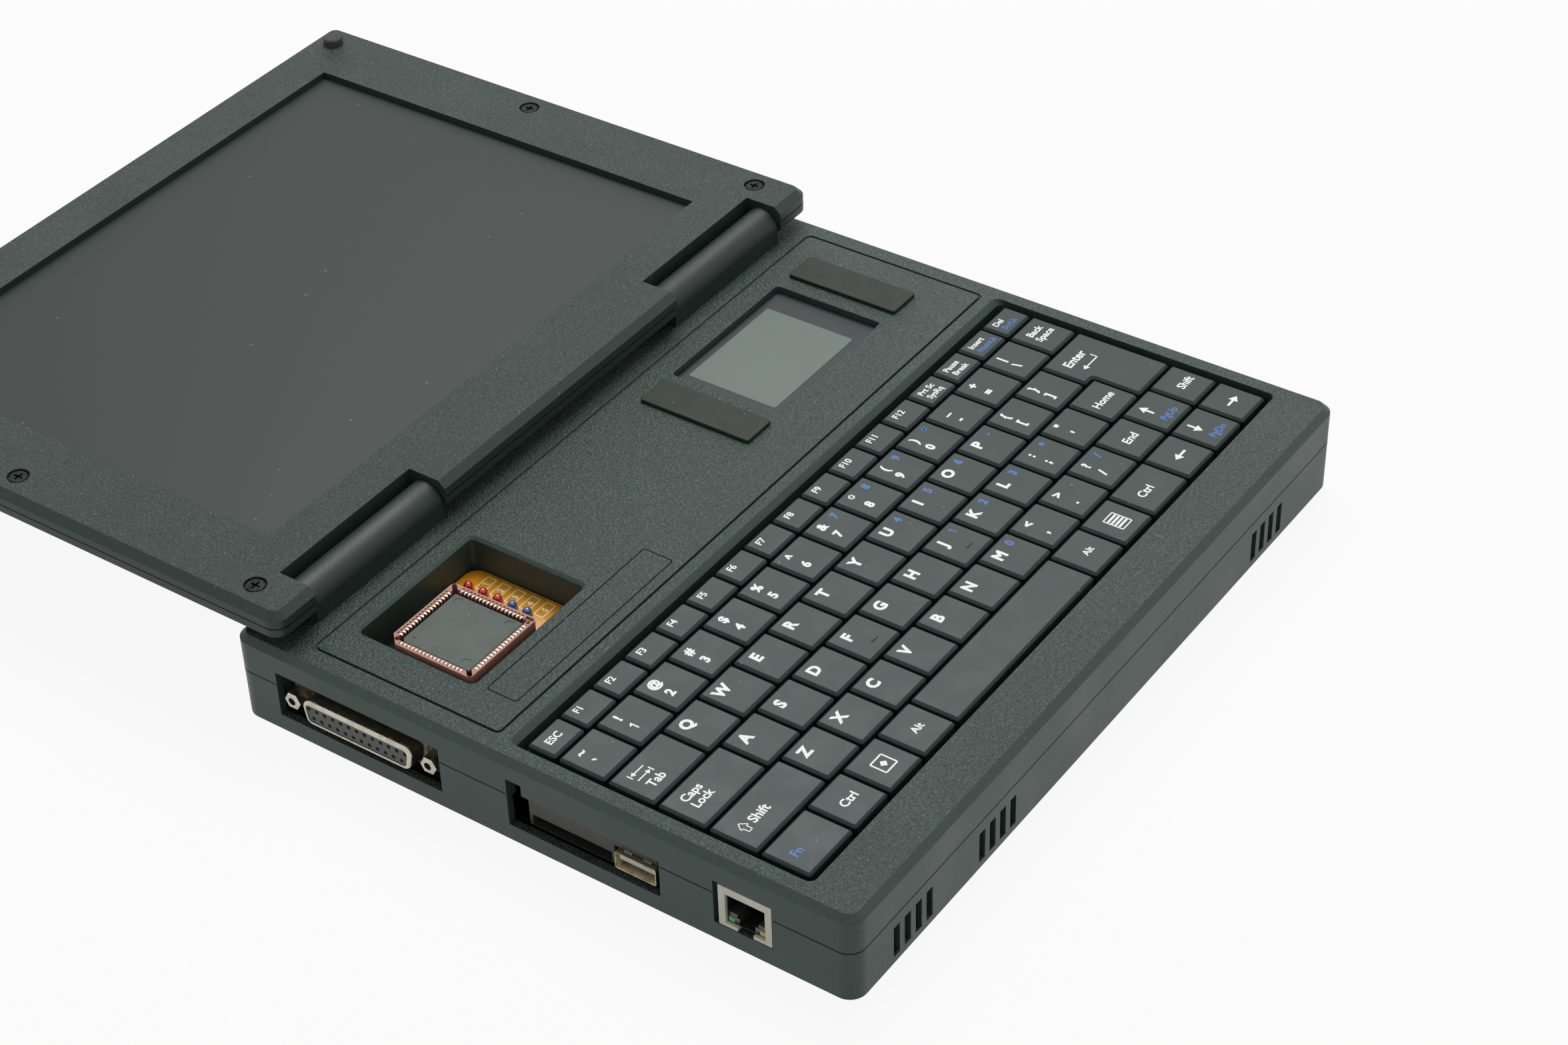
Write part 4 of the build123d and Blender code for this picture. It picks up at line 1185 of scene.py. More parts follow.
class Lettering:
    """Turns texts into flat closed meshes of thin ink.

    A drawn sign's places are shares of a capital letter's height.

    Attributes:
        thickness: Thickness of the ink in millimetres.
        boldness: How far the outline of a single sign is thickened, in the font's units.
        word_boldness: The same for a word.
        star_reach: Half the length of the star's strokes.
        star_middle: Height of the star's middle above the base line.
        star_stroke: Width of the star's strokes.
        stem: X of the one's stem.
        flag: Lower and upper end of the one's flag.
        one_stroke: Width of the one's strokes.
        capital: Height of a capital letter in the font's units.
        kept: The texts made so far.
    """

    thickness = 0.03
    boldness = 0.05
    word_boldness = 0.026
    star_reach = 0.36
    star_middle = 0.68
    star_stroke = 0.19
    stem = 0.08
    flag = ((-0.24, 0.7), (0.12, 0.93))
    one_stroke = 0.17

    def __init__(self) -> None:
        """Measure the height of a capital letter."""
        self.capital = 1.0
        self.kept: dict[tuple[str, Align], Surface] = {}
        self.capital = float(self.font_text("H", Align.LEFT).points[:, 1].max())

    def text(self, wording: str, align: Align) -> Surface:
        """Make a text of capital height one with its base line through the origin.

        Args:
            wording: What it says.
            align: Whether the origin is at its left or its middle.

        Returns:
            The letters, closed, from z 0 to 1.
        """
        if wording == "*":
            return self.star()
        if wording == "1":
            return self.one()
        if (wording, align) not in self.kept:
            self.kept[wording, align] = self.font_text(wording, align)
        return self.kept[wording, align]

    def font_text(self, wording: str, align: Align) -> Surface:
        """Make a text from Blender's own font.

        Args:
            wording: What it says.
            align: Whether the origin is at its left or its middle.

        Returns:
            The letters, closed, from z 0 to 1.
        """
        curve = bpy.data.curves.new("legend", "FONT")
        curve.body, curve.align_x = wording, align.value
        curve.bevel_depth = self.boldness if len(wording) == 1 else self.word_boldness
        curve.extrude, curve.resolution_u = 0.5, 3
        curve.bevel_resolution = 0
        holder = bpy.data.objects.new("legend", curve)
        bpy.context.scene.collection.objects.link(holder)
        graph = bpy.context.evaluated_depsgraph_get()
        mesh = bpy.data.meshes.new_from_object(holder.evaluated_get(graph))
        points = np.empty(len(mesh.vertices) * 3)
        mesh.vertices.foreach_get("co", points)
        size = np.array([self.capital, self.capital, 1.0])
        points = points.reshape(-1, 3) / size + np.array([0, 0, 0.5])
        letters = Surface(points, [tuple(face.vertices) for face in mesh.polygons])
        bpy.data.objects.remove(holder)
        bpy.data.curves.remove(curve)
        bpy.data.meshes.remove(mesh)
        return letters

    def star(self) -> Surface:
        """Draw a star of three crossed strokes, as tall as the upper half of a capital.

        Returns:
            The star, closed, from z 0 to 1.
        """
        angles = np.radians([30, 90, 150])
        ends = self.star_reach * np.stack([np.cos(angles), np.sin(angles)], 1)
        section = bar_section(1.0, self.star_stroke)
        y = self.star_middle
        paths = [[(-along, y - up, 0.5), (along, y + up, 0.5)] for along, up in ends.tolist()]
        return joined([swept(path, section, UP) for path in paths])

    def one(self) -> Surface:
        """Draw a one as a stem with a flag, one capital tall.

        Returns:
            The one, closed, its flag a hair above its stem.
        """
        stem = [(self.stem, 0.0, 0.5), (self.stem, 1.0, 0.5)]
        flag = [(x, y, 0.51) for x, y in self.flag]
        return joined([swept(path, bar_section(1.0, self.one_stroke), UP) for path in (stem, flag)])

    def mark(self, mark: Mark, left: float, rear: float, top: float) -> Surface:
        """Place a text on a key.

        Args:
            mark: The text with its place on the key.
            left: X of the key's left edge.
            rear: Y of the key's rear edge.
            top: Height of the key's top.

        Returns:
            The letters in their place.
        """
        flat = self.text(mark.text, mark.align)
        scaled = Surface(flat.points * np.array([mark.height, mark.height, self.thickness]), flat.faces)
        return scaled.moved(left + mark.x, rear - mark.down, top - self.thickness / 3)


def ink_line(path: Sequence[Pair], width: float, height: float, closed: bool = False) -> Surface:
    """Draw a line of ink.

    Args:
        path: Points of the line.
        width: Width of the line.
        height: Height of the surface that carries it.
        closed: Whether the line ends where it starts.

    Returns:
        The line, closed on all sides.
    """
    if closed:
        profile = band_profile(-width / 2, width / 2, height - INK_SINK, height + INK_RISE)
        return raised(fillet_outline(path, width * 0.6 + 0.01, 4), profile, wrap=True)
    middle = height + (INK_RISE - INK_SINK) / 2
    section = bar_section(INK_RISE + INK_SINK, width)
    return swept([(x, y, middle) for x, y in path], section, UP)


def ink_patch(corners: Sequence[Pair], height: float) -> Surface:
    """Fill a flat shape with ink.

    Args:
        corners: Its corners, counter-clockwise.
        height: Height of the surface that carries it.

    Returns:
        The shape, closed on all sides.
    """
    flat = np.array(corners, dtype=float)
    levels = (height - INK_SINK, height + INK_RISE)
    return ring_stack(np.stack([np.column_stack([flat, np.full(len(flat), z)]) for z in levels]))


def arrow(tail: Pair, head: Pair, height: float, width: float, wing: float) -> Surface:
    """Draw an arrow of ink.

    Args:
        tail: Where it starts.
        head: Where it points.
        height: Height of the surface that carries it.
        width: Width of its shaft.
        wing: Half the width of its head.

    Returns:
        Shaft and head.
    """
    start, tip = np.array(tail), np.array(head)
    along = (tip - start) / np.linalg.norm(tip - start)
    side = np.array([-along[1], along[0]])
    neck = tip - along * wing * ARROW_HEAD
    half = side * width / 2
    shaft = ink_patch([start - half, neck - half, neck + half, start + half], height)
    return joined([shaft, ink_patch([neck - side * wing, tip, neck + side * wing], height)])


# Studio


@dataclass(frozen=True)
class Lamp:
    """One square soft lamp, in metres.

    Attributes:
        name: Name of the lamp.
        place: Its place.
        size: Its side.
        power: Its power in watts.
    """

    name: str
    place: tuple[float, float, float]
    size: float
    power: float


@dataclass
class Studio:
    """Camera, lamps, floor and surroundings.

    Attributes:
        camera_place: Camera's place in millimetres.
        right: Direction of the picture's right side.
        down: Direction of the picture's lower side.
        forward: Direction of the view.
        lens: Focal length in millimetres.
        sensor: Width of the sensor in millimetres.
        shift: Shift of the picture, as shares of its width.
        floor_half: Half the floor's side in metres.
        floor_gap: Gap between the feet and the floor in metres.
        floor_grey: Grey of the floor's own surface.
        floor_shine: Share of the floor's seen light that is plain white.
        seen_white: Strength that a ray from the camera adds to the surroundings.
        sky: Strength of the surroundings for all other rays.
        lamps: A large soft lamp over the object and a weak one in front of it.
        aim: Point that the lamps face, in metres.
    """

    camera_place: tuple[float, float, float] = (-578.883, -407.160, 581.594)
    right: tuple[float, float, float] = (0.5870825691, -0.8081459534, -0.0472670602)
    down: tuple[float, float, float] = (-0.5244925077, -0.3352458088, -0.7826352005)
    forward: tuple[float, float, float] = (0.6166373864, 0.4842627031, -0.6206834685)
    lens: float = 74.38
    sensor: float = 36.0
    shift: Pair = (0.0738, 0.0111)
    floor_half: float = 4.0
    floor_gap: float = 0.0001
    floor_grey: float = 0.62
    floor_shine: float = 0.92
    seen_white: float = 0.70
    sky: float = 0.30
    lamps: tuple[Lamp, ...] = (
        Lamp("top lamp", (0.70, 0.42, 1.5), 1.1, 21.5),
        Lamp("front lamp", (0.7, -1.3, 0.8), 0.9, 0.7),
    )
    aim: tuple[float, float, float] = (0.0, 0.05, 0.0)

    def build(self) -> None:
        """Build everything that isn't the object."""
        bpy.context.scene.view_settings.view_transform = "Standard"
        self.build_camera()
        self.build_floor()
        self.build_world()
        self.build_lamps()

    def build_camera(self) -> None:
        """Stand the camera where the photograph was taken from."""
        data = bpy.data.cameras.new("camera")
        data.lens, data.sensor_width = self.lens, self.sensor
        data.shift_x, data.shift_y = self.shift
        data.clip_start, data.clip_end = 0.02, 50.0
        made = bpy.data.objects.new("camera", data)
        bpy.context.scene.collection.objects.link(made)
        turn = Matrix([self.right, [-v for v in self.down], [-v for v in self.forward]]).transposed()
        made.matrix_world = Matrix.Translation(Vector(self.camera_place) * MM) @ turn.to_4x4()
        bpy.context.scene.camera = made

    @staticmethod
    def seen_ray(graph: Graph) -> Socket:
        """Tell the rays that come straight, mirrored or through glass from the camera.

        Args:
            graph: The graph of the floor or of the surroundings.

        Returns:
            1 for such a ray, else 0.
        """
        path = graph.node("ShaderNodeLightPath")
        mirrored = graph.sum("MAXIMUM", path.outputs["Is Glossy Ray"], path.outputs["Is Transmission Ray"])
        return graph.sum("MAXIMUM", path.outputs["Is Camera Ray"], mirrored)

    def build_floor(self) -> None:
        """Lay the pale floor just under the feet; seen directly it is mostly white, with a soft shadow."""
        low, half = CAD_BOX[0][2] - self.floor_gap, self.floor_half
        mesh = bpy.data.meshes.new("floor")
        corners = [(x, y, low) for x, y in rectangle((-half, half), (-half, half))]
        mesh.from_pydata(corners, [], [(0, 1, 2, 3)])
        floor = bpy.data.objects.new("floor", mesh)
        bpy.context.scene.collection.objects.link(floor)
        made = bpy.data.materials.new("floor paper")
        made.use_nodes = True
        graph = Graph(made.node_tree)
        shader = made.node_tree.nodes["Principled BSDF"]
        shader.inputs["Base Color"].default_value = rgba((self.floor_grey,) * 3)
        shader.inputs["Roughness"].default_value = 0.9
        glow = graph.node("ShaderNodeEmission", {"Color": (1.0, 1.0, 1.0, 1.0), "Strength": 1.0})
        share = graph.sum("MULTIPLY", self.seen_ray(graph), self.floor_shine)
        mixed = graph.node("ShaderNodeMixShader", {0: share, 1: shader.outputs[0], 2: glow.outputs[0]})
        graph.feed(made.node_tree.nodes["Material Output"].inputs["Surface"], mixed.outputs[0])
        mesh.materials.append(made)

    def build_world(self) -> None:
        """Light the surroundings evenly, white where they are seen."""
        world = bpy.data.worlds.new("studio")
        world.use_nodes = True
        bpy.context.scene.world = world
        graph = Graph(world.node_tree)
        back = world.node_tree.nodes["Background"]
        back.inputs["Color"].default_value = (1.0, 1.0, 1.0, 1.0)
        strength = graph.sum("MULTIPLY_ADD", self.seen_ray(graph), self.seen_white, self.sky)
        graph.feed(back.inputs["Strength"], strength)

    def build_lamps(self) -> None:
        """Hang the lamps."""
        for lamp in self.lamps:
            data = bpy.data.lights.new(lamp.name, "AREA")
            data.shape, data.size, data.energy = "SQUARE", lamp.size, lamp.power
            made = bpy.data.objects.new(lamp.name, data)
            bpy.context.scene.collection.objects.link(made)
            facing = Vector(self.aim) - Vector(lamp.place)
            made.location, made.rotation_mode = lamp.place, "QUATERNION"
            made.rotation_quaternion = facing.to_track_quat("-Z", "Y")


# Keyboard


def second_sign(sign: str) -> list[Mark]:
    """Return the blue mark at the right of a key, or none."""
    return [Mark(sign, height=2.6, x=11.0, down=4.8, ink=Ink.BLUE)] if sign else []


def letter(sign: str, second: str = "") -> list[Mark]:
    """Return the marks of a letter key, with its blue second sign if it has one."""
    return [Mark(sign, height=3.5, x=4.8, down=5.9), *second_sign(second)]


def pair(upper: str, lower: str, second: str = "") -> list[Mark]:
    """Return the marks of a key with a sign over another, with its blue second sign if it has one."""
    marks = [Mark(upper, height=2.9, x=4.9, down=5.0), Mark(lower, height=2.9, x=4.9, down=10.35)]
    return marks + second_sign(second)


def two_lines(first: str, second: str, ink: Ink = Ink.WHITE) -> list[Mark]:
    """Return the marks of a function key with two short lines."""
    upper = Mark(first, height=2.05, x=2.2, down=4.0, align=Align.LEFT)
    return [upper, Mark(second, height=2.05, x=2.5, down=7.0, ink=ink, align=Align.LEFT)]


def words(text: str, x: float, down: float, height: float = 2.4, ink: Ink = Ink.WHITE) -> list[Mark]:
    """Return the mark of a word that starts at x."""
    return [Mark(text, height, x, down, ink, Align.LEFT)]


@dataclass
class Keyboard:
    """Key caps, their legends, and the small parts that show in the gaps.

    Attributes:
        edge_inset: Width of a cap's chamfer.
        edge_drop: Height of a cap's chamfer.
        corner: Radius of a cap's upright corners.
        bump_size: Length and width of the bars on the two finding keys.
        home_bars: Places of the two bars.
        enter_step: Size of the step in the enter key's near left corner.
        rivets: Places of the bright rivets of the key plate.
        lettering: Makes the legends.
    """

    edge_inset: float = 0.78
    edge_drop: float = 0.75
    corner: float = 0.95
    bump_size: Pair = (2.7, 0.45)
    home_bars: tuple[Pair, ...] = ((-34.0, -46.2), (13.3, -46.2))
    enter_step: Pair = (3.93, 15.65)
    rivets: tuple[tuple[float, float, float], ...] = (
        (-118.0, -55.0, 25.0),
        (-118.0, 6.3, 25.0),
        (-38.5, -82.9, 25.0),
    )
    lettering: Lettering = field(default_factory=Lettering)

    def legends(self) -> dict[str, list[list[Mark]]]:
        """List the marks of every key, node by node and from left to right.

        Returns:
            For each node, one list of marks for each key.
        """
        function = [[Mark(f"F{i}", 2.2, 2.6, 4.0, align=Align.LEFT)] for i in range(1, 13)]
        function += [two_lines("Prt Sc", "SysRq"), two_lines("Pause", "Break")]
        function += [two_lines("Insert", "NumLk", Ink.BLUE), two_lines("Del", "ScrLk", Ink.BLUE)]
        digits = [pair("~", "`")] + [pair(sign, digit) for sign, digit in zip("!@#$%^", "123456")]
        digits += [pair(sign, digit, digit) for sign, digit in zip("&*(", "789")] + [pair(")", "0", "*")]
        digits += [pair("_", "-"), pair("+", "="), pair("|", "\\")]
        upper = [letter(c) for c in "QWERTY"] + [letter(c, d) for c, d in zip("UIOP", "456-")]
        upper += [pair("{", "["), pair("}", "]")]
        middle = [letter(c) for c in "ASDFGH"] + [letter(c, d) for c, d in zip("JKL", "123")]
        middle += [pair(":", ";", "+"), pair('"', "'")]
        lower = [letter(c) for c in "ZXCVBN"] + [letter("M", "0"), pair("<", ",")]
        lower += [pair(">", ".", "."), pair("?", "/", "/")]
        return {
            "key_escape": [words("ESC", 2.9, 5.4, 2.4)],
            "keys_function": function,
            "keys_digits": digits,
            "key_backspace": [[Mark("Back", 2.45, 6.6, 5.6), Mark("Space", 2.45, 6.9, 9.0)]],
            "key_tab": [words("Tab", 4.6, 11.2, 2.8)],
            "keys_upper_letters": upper,
            "key_caps_lock": [words("Caps", 4.5, 5.8, 2.7) + words("Lock", 4.5, 9.4, 2.7)],
            "keys_middle_letters": middle,
            "key_home": [[Mark("Home", 2.65, 7.2, 8.8)]],
            "key_enter": [[Mark("Enter", 3.1, 8.6, 7.4)]],
            "key_shift_left": [words("Shift", 7.9, 8.7, 2.9)],
            "keys_lower_letters": lower,
            "key_end": [[Mark("End", 2.8, 7.2, 8.8)]],
            "key_up": [[Mark("PgUp", 2.4, 7.6, 12.0, Ink.BLUE)]],
            "key_shift_right": [[Mark("Shift", 2.7, 7.6, 8.8)]],
            "key_function": [words("Fn", 3.4, 8.6, 2.7, Ink.BLUE)],
            "key_control_left": [[Mark("Ctrl", 2.7, 7.5, 8.8)]],
            "key_alt_left": [[Mark("Alt", 2.4, 7.5, 8.6)]],
            "key_alt_right": [[Mark("Alt", 2.2, 7.5, 8.6)]],
            "key_control_right": [[Mark("Ctrl", 2.7, 7.5, 8.8)]],
            "key_down": [[Mark("PgDn", 2.4, 7.8, 12.0, Ink.BLUE)]],
        }

    def signs(self, node: str, left: float, rear: float, top: float) -> list[Surface]:
        """Draw the signs that are not letters.

        Args:
            node: Name of the key node.
            left: X of the key's left edge.
            rear: Y of its rear edge.
            top: Height of its top.

        Returns:
            The drawn surfaces, or none.
        """

        def at(x: float, down: float) -> Pair:
            """Return a place on the key in the shared frame."""
            return (left + x, rear - down)

        def line(*places: Pair, width: float = 0.42, closed: bool = False) -> Surface:
            """Draw a line of ink through places on the key."""
            return ink_line([at(*place) for place in places], width, top, closed)

        match node:
            case "key_tab":
                back = arrow(at(9.8, 4.1), at(4.6, 4.1), top, 0.4, 0.85)
                forth = arrow(at(4.4, 6.5), at(9.6, 6.5), top, 0.4, 0.85)
                return [back, forth, line((4.2, 3.1), (4.2, 5.1)), line((10.0, 5.5), (10.0, 7.5))]
            case "key_enter":
                pointer = arrow(at(13.2, 10.9), at(5.6, 10.9), top, 0.42, 1.1)
                return [pointer, line((13.2, 11.11), (13.2, 8.6))]
            case "key_shift_left":
                outline = [(4.6, 9.2), (6.0, 9.2), (6.0, 7.4), (6.9, 7.4), (5.3, 5.3), (3.7, 7.4), (4.6, 7.4)]
                return [line(*outline, width=0.3, closed=True)]
            case "key_left":
                return [arrow(at(10.2, 7.6), at(4.8, 7.6), top, 0.75, 1.5)]
            case "key_right":
                return [arrow(at(4.2, 7.6), at(9.6, 7.6), top, 0.75, 1.5)]
            case "key_up":
                return [arrow(at(5.4, 7.4), at(5.4, 2.4), top, 0.75, 1.5)]
            case "key_down":
                return [arrow(at(5.4, 2.4), at(5.4, 7.4), top, 0.75, 1.5)]
            case "key_menu":
                rows = [line((5.4, down), (9.6, down), width=0.72) for down in (5.9, 7.1, 8.3, 9.5)]
                return rows + [line(*rectangle((5.1, 9.9), (10.9, 4.6)), width=0.4, closed=True)]
            case "key_command":
                frame_line = line(*rectangle((5.0, 10.0), (10.2, 5.2)), width=0.5, closed=True)
                return [frame_line, ink_patch([at(7.5, 8.9), at(8.7, 7.7), at(7.5, 6.5), at(6.3, 7.7)], top)]
        return []

    def cap(self, corners: Sequence[Pair], bottom: float, top: float) -> Surface:
        """Build one key cap.

        The chamfer's profile is a straight line whose two ends are eased by short steps, so that it
        shades as one moulded edge.

        Args:
            corners: Corners of its outline, counter-clockwise.
            bottom: Height of its lower rim.
            top: Height of its top.

        Returns:
            The closed cap.
        """
        foot, inset = top - self.edge_drop, self.edge_inset
        wall = [(0.12, bottom), (0.0, bottom + 0.12), (0.0, foot - 0.16)]
        lower_ease = [(0.03, foot - 0.05), (0.10, foot + 0.06)]
        upper_ease = [(inset - 0.12, top - 0.10), (inset - 0.04, top - 0.035)]
        flat = [(inset + 0.06, top), (inset + 0.12, top)]
        return raised(fillet_outline(corners, self.corner, 4), wall + lower_ease + upper_ease + flat)

    def corners(self, node: str) -> list[list[Pair]]:
        """Find the outline of each key in a node.

        Args:
            node: Name of the key node.

        Returns:
            The corners of each key, counter-clockwise, from left to right.
        """
        low, high = node_box(node)
        if node != "key_enter":
            return [rectangle(span, (low[1], high[1])) for span in solid_spans(node)]
        step_x, step_y = low[0] + self.enter_step[0], low[1] + self.enter_step[1]
        near = [(step_x, low[1]), (high[0], low[1])]
        far = [(high[0], high[1]), (low[0], high[1])]
        return [[*near, *far, (low[0], step_y), (step_x, step_y)]]

    def finding_bars(self, top: float) -> Surface:
        """Build the two small bars that the fingers find their home keys by.

        Args:
            top: Height of the keys' tops.

        Returns:
            Both bars.
        """
        length, width = self.bump_size
        outline = rounded((-length / 2, length / 2), (-width / 2, width / 2), 0.2, 4)
        bar = raised(outline, soft_edge(-0.05, 0.22, 0.15))
        return bar.at(np.array([(x, y, top) for x, y in self.home_bars]))

    def build(self) -> None:
        """Build the caps and legends of every key node, each riding its own key body."""
        legends = self.legends()
        for node in frame["nodes"]:
            if node.startswith(("key_", "keys_")) and node != "key_membrane":
                self.build_keys(node, legends.get(node, []))
        dress(DARK_PLASTIC, "keyboard_plate", "key_membrane")
        self.build_rivets()

    def build_keys(self, node: str, legends: list[list[Mark]]) -> None:
        """Build the caps of one node and what is printed on them.

        Args:
            node: Name of the key node.
            legends: The marks of each of its keys, from left to right.
        """
        low, high = node_box(node)
        outlines = self.corners(node)
        caps = [self.cap(corners, low[2], high[2]) for corners in outlines]
        if node == "keys_middle_letters":
            caps.append(self.finding_bars(high[2]))
        make_piece(f"{node}_caps", joined(caps), BODY_OF[node], KEYS, [node], sharp=50.0)
        printed: dict[Ink, list[Surface]] = {Ink.WHITE: [], Ink.BLUE: []}
        for corners, marks in zip(outlines, legends):
            left = min(x for x, _ in corners)
            for mark in marks:
                printed[mark.ink].append(self.lettering.mark(mark, left, high[1], high[2]))
        printed[Ink.WHITE] += self.signs(node, low[0], high[1], high[2])
        for ink, parts in printed.items():
            if parts:
                make_piece(f"{node}_legend_{ink.value}", joined(parts), BODY_OF[node], INKS[ink])

    def build_rivets(self) -> None:
        """Set the small bright rivets of the key plate in the gap left of the keys."""
        head = [(0.5, -0.3), (0.75, -0.1), (0.75, 0.15), (0.6, 0.4), (0.25, 0.55), (0.02, 0.56)]
        make_piece("plate_rivets", revolved(head, 14).at(np.array(self.rivets)), "base", NICKEL)


def seam_line(path: Sequence[Pair], height: float) -> Surface:
    """Return the painted shadow of a seam's gap: a thin dark band along a shell's outline, a hair proud of
    it.
    """
    return swept([(x, y, height) for x, y in path], bar_section(0.32, 0.04), UP)


# Deck


@dataclass
class ChipSocket:
    """The square chip socket: bent contacts, the chip's leads and its dressings.

    Attributes:
        centre: Centre of the socket.
        per_side: Contacts on each side.
        pitch: Distance between contacts.
        spring_width: Width of a contact spring.
        spring_bend: Distance from the middle and height of each point of a spring.
        lead_width: Width of a chip lead.
        lead_bend: Distance from the middle and height of each point of a lead.
    """

    centre: Pair = (-91.0, 47.7)
    per_side: int = 17
    pitch: float = 1.27
    spring_width: float = 0.5
    spring_bend: tuple[Pair, ...] = (
        (13.68, 24.0),
        (13.72, 28.55),
        (13.62, 28.92),
        (13.3, 29.1),
        (12.62, 29.12),
        (12.3, 28.95),
        (12.18, 28.55),
        (12.2, 27.4),
        (12.5, 25.0),
    )
    lead_width: float = 0.46
    lead_bend: tuple[Pair, ...] = (
        (11.6, 27.0),
        (12.0, 27.05),
        *arc((12.0, 26.85), 0.2, 90, 0, 4),
        (12.2, 25.2),
        (12.0, 24.7),
    )

    def round_the_chip(self, surface: Surface) -> Surface:
        """Repeat a contact along the right side and turn that row onto all four sides.

        Args:
            surface: The contact in the middle of the right side.

        Returns:
            All the contacts, round the socket's centre.
        """
        rows = (np.arange(self.per_side) - (self.per_side - 1) / 2) * self.pitch
        side = surface.at(np.stack([np.zeros_like(rows), rows, np.zeros_like(rows)], 1))
        quarters = ((1, 0), (0, 1), (-1, 0), (0, -1))
        turns = [[[cos, sin, 0], [-sin, cos, 0], [0, 0, 1]] for cos, sin in quarters]
        return joined([side.turned(turn) for turn in turns]).moved(*self.centre)

    def build(self) -> None:
        """Build contacts and leads and dress the solids."""
        dress(SOCKET, "processor_socket")
        dress(CHIP, "processor_chip")
        spring = swept(
            [(x, 0.0, z) for x, z in self.spring_bend], bar_section(self.spring_width, 0.2), REARWARD
        )
        springs = self.round_the_chip(spring)
        make_piece("contact_springs", springs, "base", CONTACT, ["socket_contacts"])
        lead = swept([(x, 0.0, z) for x, z in self.lead_bend], bar_section(self.lead_width, 0.18), REARWARD)
        make_piece("chip_leads", self.round_the_chip(lead), "base", NICKEL)


@dataclass
class LampBoard:
    """The yellow board beside the socket: domed lamps, numbered frames and thin traces.

    Attributes:
        lamp_x: X of the row of lamps.
        first_y: Y of the front lamp.
        pitch: Distance between lamps.
        top: Height of the board's top.
        frame_x: X limits of the printed frames.
        frame_drop: How far a frame's middle lies in front of its lamp.
        frame_width: Size of a frame along Y.
        board_x: X limits of the board.
        board_y: Y limits of the board and of the dark sheet beside it.
        board_corner: Radius of their corners.
        thickness: Thickness of the board, and how far the dark sheet's underside lies below its top.
        carrier_left: Left edge of the dark sheet.
        carrier_drop: How far the dark sheet's top lies below the board's.
        lamp_radius: Radius of a lamp's dome.
        lamp_base: Height where the dome starts.
        lettering: Makes the numbers.
    """

    lamp_x: float = -66.6
    first_y: float = 45.6
    pitch: float = 5.15
    top: float = 18.0
    frame_x: Pair = (-65.1, -59.3)
    frame_drop: float = 2.6
    frame_width: float = 3.0
    board_x: Pair = (-70.8, -57.9)
    board_y: Pair = (32.6, 71.2)
    board_corner: float = 4.2
    thickness: float = 1.6
    carrier_left: float = -105.2
    carrier_drop: float = 0.4
    lamp_radius: float = 1.38
    lamp_base: float = 1.3
    lettering: Lettering = field(default_factory=Lettering)

    def build(self) -> None:
        """Build the board and the dark sheet beside it under the socket, the lamps, the print and the traces.
        """
        underside = self.top - self.thickness
        board = raised(self.outline(self.board_x), soft_edge(underside, self.top, 0.08))
        make_piece("lamp_board", board, "base", BOARD_YELLOW, ["indicator_board"])
        # A dark sheet under the socket, left of the yellow board, darkens the well's floor there
        dark_sheet_x = (self.carrier_left, self.board_x[1] - 0.1)
        dark_sheet = raised(self.outline(dark_sheet_x), soft_edge(underside, self.top - self.carrier_drop, 0.08))
        make_piece("dark_well_sheet", dark_sheet, "base", BOARD_DARK)
        ys = self.first_y + self.pitch * np.arange(5)
        self.build_lamps(ys)
        self.build_print(ys)
        self.build_traces()

    def outline(self, xs: Pair) -> Outline:
        """Return the round-cornered outline of a board between two X limits."""
        return rounded(xs, self.board_y, self.board_corner, 8)

    def build_lamps(self, ys: np.ndarray) -> None:
        """Stand the domed lamps on the board, the front two blue and the others red.

        Args:
            ys: Y of each lamp, from the front.
        """
        base, radius = self.lamp_base, self.lamp_radius
        body = [(1.5, 0.0), (1.55, 0.12), (1.55, 0.5), (1.42, 0.62), (radius, base)]
        dome = np.radians(np.linspace(0, 86, 7))
        body += [(radius * math.cos(a), base + radius * math.sin(a)) for a in dome]
        lamp = revolved(body, 28)
        for name, finish, rows in (("blue", LAMP_BLUE, ys[:2]), ("red", LAMP_RED, ys[2:])):
            places = np.stack([np.full(len(rows), self.lamp_x), rows, np.full(len(rows), self.top)], 1)
            replaces = ["indicator_lamps"] if name == "red" else []
            make_piece(f"{name}_lamps", lamp.at(places), "base", finish, replaces)

    def build_print(self, ys: np.ndarray) -> None:
        """Print a frame with a number beside each lamp, counted from the rear.

        Args:
            ys: Y of each lamp, from the front.
        """
        printed, half = [], self.frame_width / 2
        for number, y in enumerate(ys[::-1], start=1):
            middle = y - self.frame_drop
            corners = rectangle(self.frame_x, (middle - half, middle + half))
            printed.append(ink_line(corners, 0.34, self.top, closed=True))
            digit = Mark(str(number), height=1.9, x=0.0, down=0.0, ink=Ink.BOARD)
            printed.append(self.lettering.mark(digit, sum(self.frame_x) / 2, middle - 0.95, self.top))
        make_piece("board_print", joined(printed), "base", INKS[Ink.BOARD])

    def build_traces(self) -> None:
        """Lay the covered traces that run from the lamps to the right edge."""
        rows = self.first_y + self.pitch * np.arange(4)
        paths = [[(-59.0, y - 0.2), (-58.5, y + 0.3), (-58.5, y + 2.6), (-58.9, y + 3.0)] for y in rows]
        height, section = self.top + 0.01, bar_section(0.04, 0.22)
        traces = [swept([(x, y, height) for x, y in path], section, UP) for path in paths]
        make_piece("board_traces", joined(traces), "base", TRACE)


